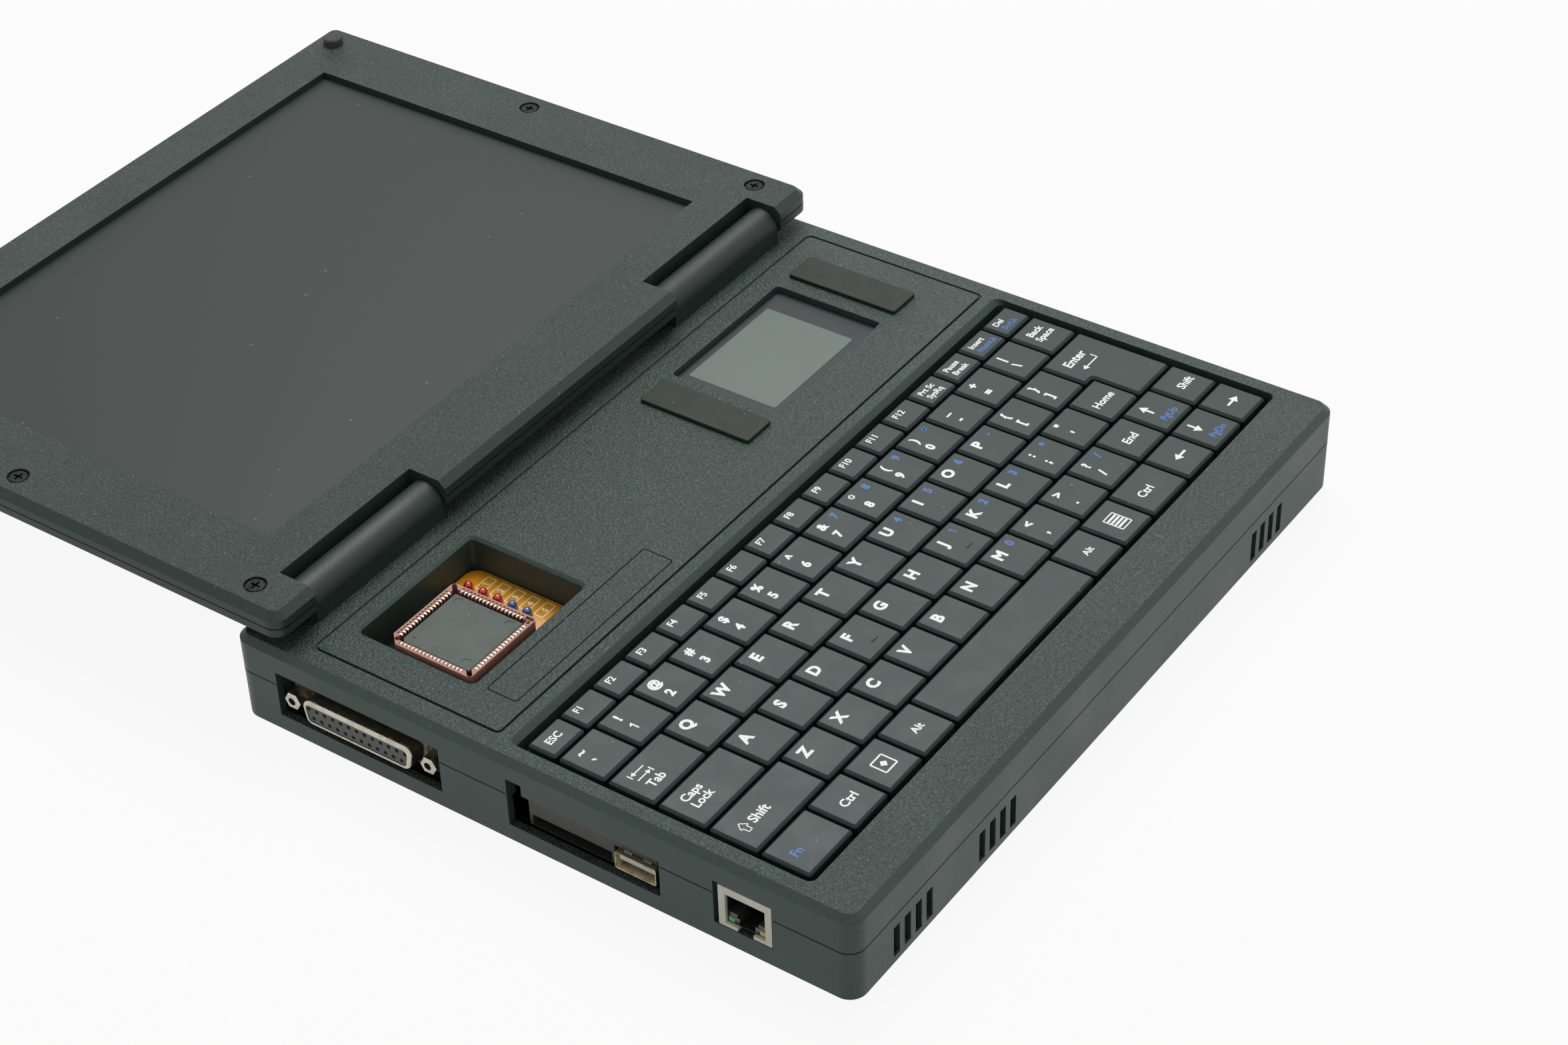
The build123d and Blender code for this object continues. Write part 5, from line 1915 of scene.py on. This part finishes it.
@dataclass
class Deck:
    """The case's shells and what lies in its deck: plate, touch pad and buttons.

    Attributes:
        film_x: X limits of the pad's film.
        film_y: Y limits of the pad's film.
        film_height: Thickness of the film.
        parting: Height where the two case shells meet.
        groove_x: X limits of the groove that frames the deck.
        groove_y: Y limits of that groove.
        groove_floor: Height of its floor.
        groove_corner: Radius of its outer corners.
        plate_corner: Radius of the access plate's corners.
        half_width: Half the case's width.
        half_depth: Half its depth.
        case_corner: Radius of the case's upright corners.
        left_seam: Y limits of the seam's short runs between the openings of the left side.
        left_ends: Y of the long run's two ends on the left side.
    """

    film_x: Pair = (39.0, 80.1)
    film_y: Pair = (35.9, 66.8)
    film_height: float = 0.08
    parting: float = 16.6
    groove_x: Pair = (-118.0, 118.0)
    groove_y: Pair = (13.7, 77.4)
    groove_floor: float = 28.0
    groove_corner: float = 2.2
    plate_corner: float = 0.8
    half_width: float = 125.0
    half_depth: float = 100.0
    case_corner: float = 5.0
    left_seam: tuple[Pair, ...] = ((-57.7, -41.6), (7.2, 29.2))
    left_ends: Pair = (85.8, -76.0)

    def build(self) -> None:
        """Dress the shells and build the soft pieces of the deck."""
        dress(CASE, "top_case", "bottom_case", "access_plate")
        dress(PAD_FRAME, "touch_pad")
        # Painted shadow: dark bands stand for the shade in the case's seam, in the plate's gap and at the
        # groove's foot
        make_piece("case_seam", self.case_seam(), "base", SEAM_SHADOW)
        make_piece("deck_seams", self.deck_seams(), "base", SEAM_SHADOW)
        top = node_box("touch_pad")[1][2]
        film_outline = rounded(self.film_x, self.film_y, 0.8, 5)
        film = raised(film_outline, soft_edge(top - 0.02, top + self.film_height, 0.04))
        make_piece("pad_film", film, "base", PAD_FILM)
        for node in ("pad_button_left", "pad_button_right"):
            low, high = node_box(node)
            outline = rounded((low[0], high[0]), (low[1], high[1]), 0.9, 6)
            cap = raised(outline, soft_edge(low[2], high[2], 0.35, 0.1, 5))
            make_piece(f"{node}_cap", cap, BODY_OF[node], BUTTON, [node])

    def deck_seams(self) -> Surface:
        """Lay painted shadow in the gap round the access plate and along the inner foot of the deck's groove.

        Returns:
            Both painted shadows, thin dark flat bands.
        """
        low, high = node_box("access_plate")
        plate = rounded((low[0], high[0]), (low[1], high[1]), self.plate_corner, 5)
        # Painted shadow in the gap round the access plate
        gap = raised(plate, band_profile(-0.26, 0.10, high[2] - 0.03, high[2] + 0.012), wrap=True)
        groove = rounded(self.groove_x, self.groove_y, self.groove_corner, 8)
        floor = self.groove_floor
        # Painted shadow along the inner foot of the groove
        foot = raised(groove, band_profile(0.56, 0.88, floor - 0.02, floor + 0.03), wrap=True)
        return joined([gap, foot])

    def case_seam(self) -> Surface:
        """Run the painted shadow of the seam round the case and between the openings of its left side.

        Returns:
            The seam's runs.
        """
        left, corner = -self.half_width, self.case_corner
        middle_x, middle_y = self.half_width - corner, self.half_depth - corner
        path = [(left, self.left_ends[0])]
        for i, j, start in ((-1, 1, 180), (1, 1, 90), (1, -1, 0), (-1, -1, 270)):
            path += arc((middle_x * i, middle_y * j), corner, start, start - 90, 25)
        path.append((left, self.left_ends[1]))
        short = [[(left, near), (left, far)] for near, far in self.left_seam]
        return joined([seam_line(line, self.parting) for line in [path, *short]])


# Left side


@dataclass
class Ports:
    """The connectors of the left side.

    Attributes:
        parallel_centre: Y and Z of the 25-way socket.
        parallel_flange: X of its flange's face.
        parallel_rim: X of its rim.
        parallel_size: Width and height of its rim.
        contact_pitch: Distance between its contacts.
        contact_row: Height of a row of contacts above or below the middle.
        jack_mouth: Width and height of the network jack's mouth.
        jack_depth: Depth of the jack's back wall.
        wire_pitch: Distance between the jack's wires.
        jack_front: X of the network jack's face.
        jack_centre: Y and Z of the middle of its mouth.
        usb_centre: Y and Z of the USB socket.
        usb_size: Width and height of the USB socket.
        usb_front: X of its rim.
    """

    parallel_centre: Pair = (56.8, 13.4)
    parallel_flange: float = -120.6
    parallel_rim: float = -126.5
    parallel_size: Pair = (38.4, 8.0)
    contact_pitch: float = 2.77
    contact_row: float = 1.42
    jack_mouth: Pair = (12.0, 9.9)
    jack_depth: float = 13.9
    wire_pitch: float = 1.02
    jack_front: float = -125.0
    jack_centre: Pair = (-67.5, 13.05)
    usb_centre: Pair = (-32.8, 10.15)
    usb_size: Pair = (13.1, 5.7)
    usb_front: float = -123.8

    def outward(self, surface: Surface, x: float, y: float, z: float) -> Surface:
        """Lay a surface's own x towards the front, its y up and its z out of the left side."""
        return surface.turned([[0, -1, 0], [0, 0, 1], [-1, 0, 0]]).moved(x, y, z)

    def build(self) -> None:
        """Dress the connectors and build their finer pieces."""
        dress(NICKEL, "jackscrews")
        dress(INSERT, "parallel_port_insert")
        dress(JACK, "network_jack")
        dress(SMOKE, "network_lamps")
        dress(TONGUE, "usb_tongue")
        dress(PANEL, "card_slot")
        self.build_parallel_shell()
        self.build_parallel_contacts()
        self.build_jack_lining()
        self.build_jack_wires()
        self.build_usb_shell()

    def build_parallel_shell(self) -> None:
        """Build the flange, the D-shaped tube with its flared foot, and its bright rolled rim."""
        width, height = self.parallel_size
        lean = height * math.tan(math.radians(10))
        lower = [(-width / 2 + lean, -height / 2), (width / 2 - lean, -height / 2)]
        outline = fillet_outline([*lower, (width / 2, height / 2), (-width / 2, height / 2)], 2.5, 8)
        place = (self.parallel_flange, *self.parallel_centre)
        plate = rounded((-26.5, 26.5), (-6.25, 6.25), 1.5, 6)
        foot = [(-1.1, 0.0), (-0.55, 0.12), (-0.18, 0.45), (0.0, 1.0), (0.0, 5.0), (0.4, 5.0), (0.4, 0.0)]
        shell = joined([raised(plate, soft_edge(-0.8, 0.0, 0.2)), raised(outline, foot, wrap=True)])
        tube = self.outward(shell, *place)
        make_piece("parallel_port_tube", tube, "base", AGED_PLATE, ["parallel_port_shell"])
        turns = np.radians([0, 18, 36, 54, 72, 90, 108])
        crown = [(0.88 - 0.92 * math.cos(a), 4.95 + 0.95 * math.sin(a)) for a in turns]
        rim = raised(outline, [(-0.03, 4.6), *crown, (1.12, 5.5), (0.5, 4.6)], wrap=True)
        make_piece("parallel_port_rim", self.outward(rim, *place), "base", NICKEL)

    def build_parallel_contacts(self) -> None:
        """Set the 25 sprung sleeves into the insert's holes."""
        sleeve = revolved([(0.3, -2.6), (0.6, -2.6), (0.6, -1.5), (0.45, -1.4), (0.3, -1.5)], 10, wrap=True)
        pitch, row = self.contact_pitch, self.contact_row
        upper = [((i - 6) * pitch, row, 0.0) for i in range(13)]
        lower = [((i - 5.5) * pitch, -row, 0.0) for i in range(12)]
        sleeves = sleeve.at(np.array(upper + lower))
        placed = self.outward(sleeves, self.parallel_rim + 0.3, *self.parallel_centre)
        make_piece("parallel_port_sleeves", placed, "base", AGED_PLATE)

    def build_jack_lining(self) -> None:
        """Line the jack's mouth in black and set the light pipes and their lenses into its lower corners."""
        half_width, half_height = self.jack_mouth[0] / 2, self.jack_mouth[1] / 2
        mouth = rounded((-half_width, half_width), (-half_height, half_height), 0.2, 3)
        walls = raised(mouth, band_profile(0.01, 0.35, -self.jack_depth, -0.9), wrap=True)
        back = raised(mouth, [(0.05, -self.jack_depth), (0.05, 0.3 - self.jack_depth)])
        place = (self.jack_front, *self.jack_centre)
        make_piece("jack_lining", self.outward(joined([walls, back]), *place), "base", DARK_PLASTIC)
        pipes, lenses = [], []
        for side in (-1, 1):
            pipe_x = tuple(sorted((side * 5.95, side * 3.1)))
            pipe = rounded(pipe_x, (-4.9, -1.7), 0.25, 4)
            pipes.append(raised(pipe, soft_edge(-5.0, -1.1, 0.3)))
            lens_x = tuple(sorted((side * 5.7, side * 3.7)))
            lens = rounded(lens_x, (-4.7, -3.2), 0.35, 5)
            lenses.append(raised(lens, soft_edge(-1.2, -0.75, 0.3)))
        make_piece("jack_light_pipes", self.outward(joined(pipes), *place), "base", SMOKE)
        for name, lens, finish in (("green", lenses[0], LAMP_GREEN), ("yellow", lenses[1], LAMP_YELLOW)):
            make_piece(f"jack_lens_{name}", self.outward(lens, *place), "base", finish)

    def build_jack_wires(self) -> None:
        """Hang the eight sprung wires of the network jack from its ceiling."""
        hook = arc((4.4, 16.9), 0.3, 90, 200, 5)
        bend = [(13.0, 17.3), (4.4, 17.2), *hook, (8.0, 14.2), (11.0, 13.2)]
        turn = np.linspace(0, 2 * math.pi, 8, endpoint=False)
        section = [(0.22 * math.cos(a), 0.22 * math.sin(a)) for a in turn]
        wire = swept([(self.jack_front + depth, 0.0, z) for depth, z in bend], section, REARWARD)
        rows = self.jack_centre[0] + self.wire_pitch * (np.arange(8) - 3.5)
        make_piece("jack_wires", wire.at(np.stack([np.zeros(8), rows, np.zeros(8)], 1)), "base", GOLD)

    def build_usb_shell(self) -> None:
        """Build the folded shell with its rounded corners, its two top springs and its legs."""
        y, z = self.usb_centre
        width, height = self.usb_size
        outline = rounded((-width / 2, width / 2), (-height / 2, height / 2), 0.75, 6)
        wall = [(0.0, -14.0), (0.0, -0.12), (0.08, 0.0), (0.3, 0.0), (0.4, -0.12), (0.4, -14.0)]
        parts = [raised(outline, wall, wrap=True)]
        for x in (-6.35, 6.35):
            leg = rounded((x - 0.2, x + 0.2), (-height / 2 - 0.4, -1.0), 0.1, 3)
            parts.append(raised(leg, [(0.0, -7.5), (0.0, -5.0)]))
        tube = self.outward(joined(parts), self.usb_front, y, z)
        make_piece("usb_tube", tube, "base", USB_PLATE, ["usb_shell"])
        top = z + height / 2
        bend = [(1.3, -0.05), (1.8, 0.42), (2.6, 0.6), (3.6, 0.5), (5.2, 0.02), (6.4, -0.1)]
        path = [(self.usb_front + depth, 0.0, top + rise) for depth, rise in bend]
        spring = swept(path, bar_section(2.5, 0.3), REARWARD)
        make_piece("usb_springs", spring.at(np.array([(0, y + 3.0, 0), (0, y - 3.0, 0)])), "base", AGED_PLATE)


# Lid


@dataclass
class Lid:
    """The lid: shells, screen, hinges, bumpers and screws.

    Attributes:
        parting: Height where its two shells meet.
        half_width: Half its width.
        notch: X limits of the right hinge notch.
        front: Y of its hinge side.
        rear: Y of its far side.
        corner: Radius of its upright corners.
        bumper_edge: Radius of the bumpers' round edge.
    """

    parting: float = 36.1
    half_width: float = 125.0
    notch: Pair = (54.8, 109.4)
    front: float = 81.9
    rear: float = 276.6
    corner: float = 4.5
    bumper_edge: float = 0.9

    def seam_paths(self) -> list[list[Pair]]:
        """Work out the seam's runs: between the notches, and from one notch round the lid to the other.

        Returns:
            The points of each run.
        """
        corner, half = self.corner, self.half_width - self.corner
        near, far = self.front + corner, self.rear - corner
        around = [(self.notch[1], self.front)]
        for i, y, start in ((1, near, -90), (1, far, 0), (-1, far, 90), (-1, near, 180)):
            around += arc((i * half, y), corner, start, start + 90, 25)
        around.append((-self.notch[1], self.front))
        return [[(-self.notch[0], self.front), (self.notch[0], self.front)], around]

    def build(self) -> None:
        """Dress the lid's solids and build its bumpers."""
        dress(LID, "lid_back", "lid_bezel")
        dress(SCREEN, "display_panel")
        dress(HINGE, "hinge_housing_left", "hinge_housing_right")
        dress(BLACK_STEEL, "hinge_leaves", "lid_screws")
        # Painted shadow: a dark band stands for the shade in the seam between the lid's shells
        seam_shadows = [seam_line(path, self.parting) for path in self.seam_paths()]
        make_piece("lid_seam_shadow", joined(seam_shadows), "lid", SEAM_SHADOW)
        self.build_bumpers()

    def build_bumpers(self) -> None:
        """Build the two bumpers, discs with a round edge."""
        low, high = node_box("lid_bumpers")
        radius, edge, top = (high[1] - low[1]) / 2, self.bumper_edge, high[2]
        dome = [(radius - 0.15, low[2]), (radius, low[2] + 0.15), (radius, top - edge)]
        turns = np.radians([20, 40, 60, 80, 90])
        dome += [(radius - edge + edge * math.cos(a), top - edge + edge * math.sin(a)) for a in turns]
        dome += [(radius * 0.4, top), (0.05, top)]
        middle_x, middle_y = high[0] - radius, (low[1] + high[1]) / 2
        places = np.array([(sign * middle_x, middle_y, 0.0) for sign in (-1, 1)])
        make_piece("bumper_domes", revolved(dome, 32).at(places), "lid", RUBBER, ["lid_bumpers"])


# Underside and inside


@dataclass
class Underside:
    """Feet, case screws, main board and battery."""

    def build(self) -> None:
        """Dress the solids."""
        dress(BLACK_STEEL, "case_screws")
        dress(BOARD_DARK, "main_board")
        dress(BATTERY, "battery_pack")
        dress(RUBBER, "rubber_feet")


def main() -> None:
    """Build the studio and the laptop, piece by piece."""
    logging.basicConfig(level=logging.INFO, format="%(name)s %(message)s")
    for part in (Studio(), Keyboard(), ChipSocket(), LampBoard(), Deck(), Ports(), Lid(), Underside()):
        part.build()
        LOG.info("%s is done", type(part).__name__)


if __name__ == "__main__":
    main()
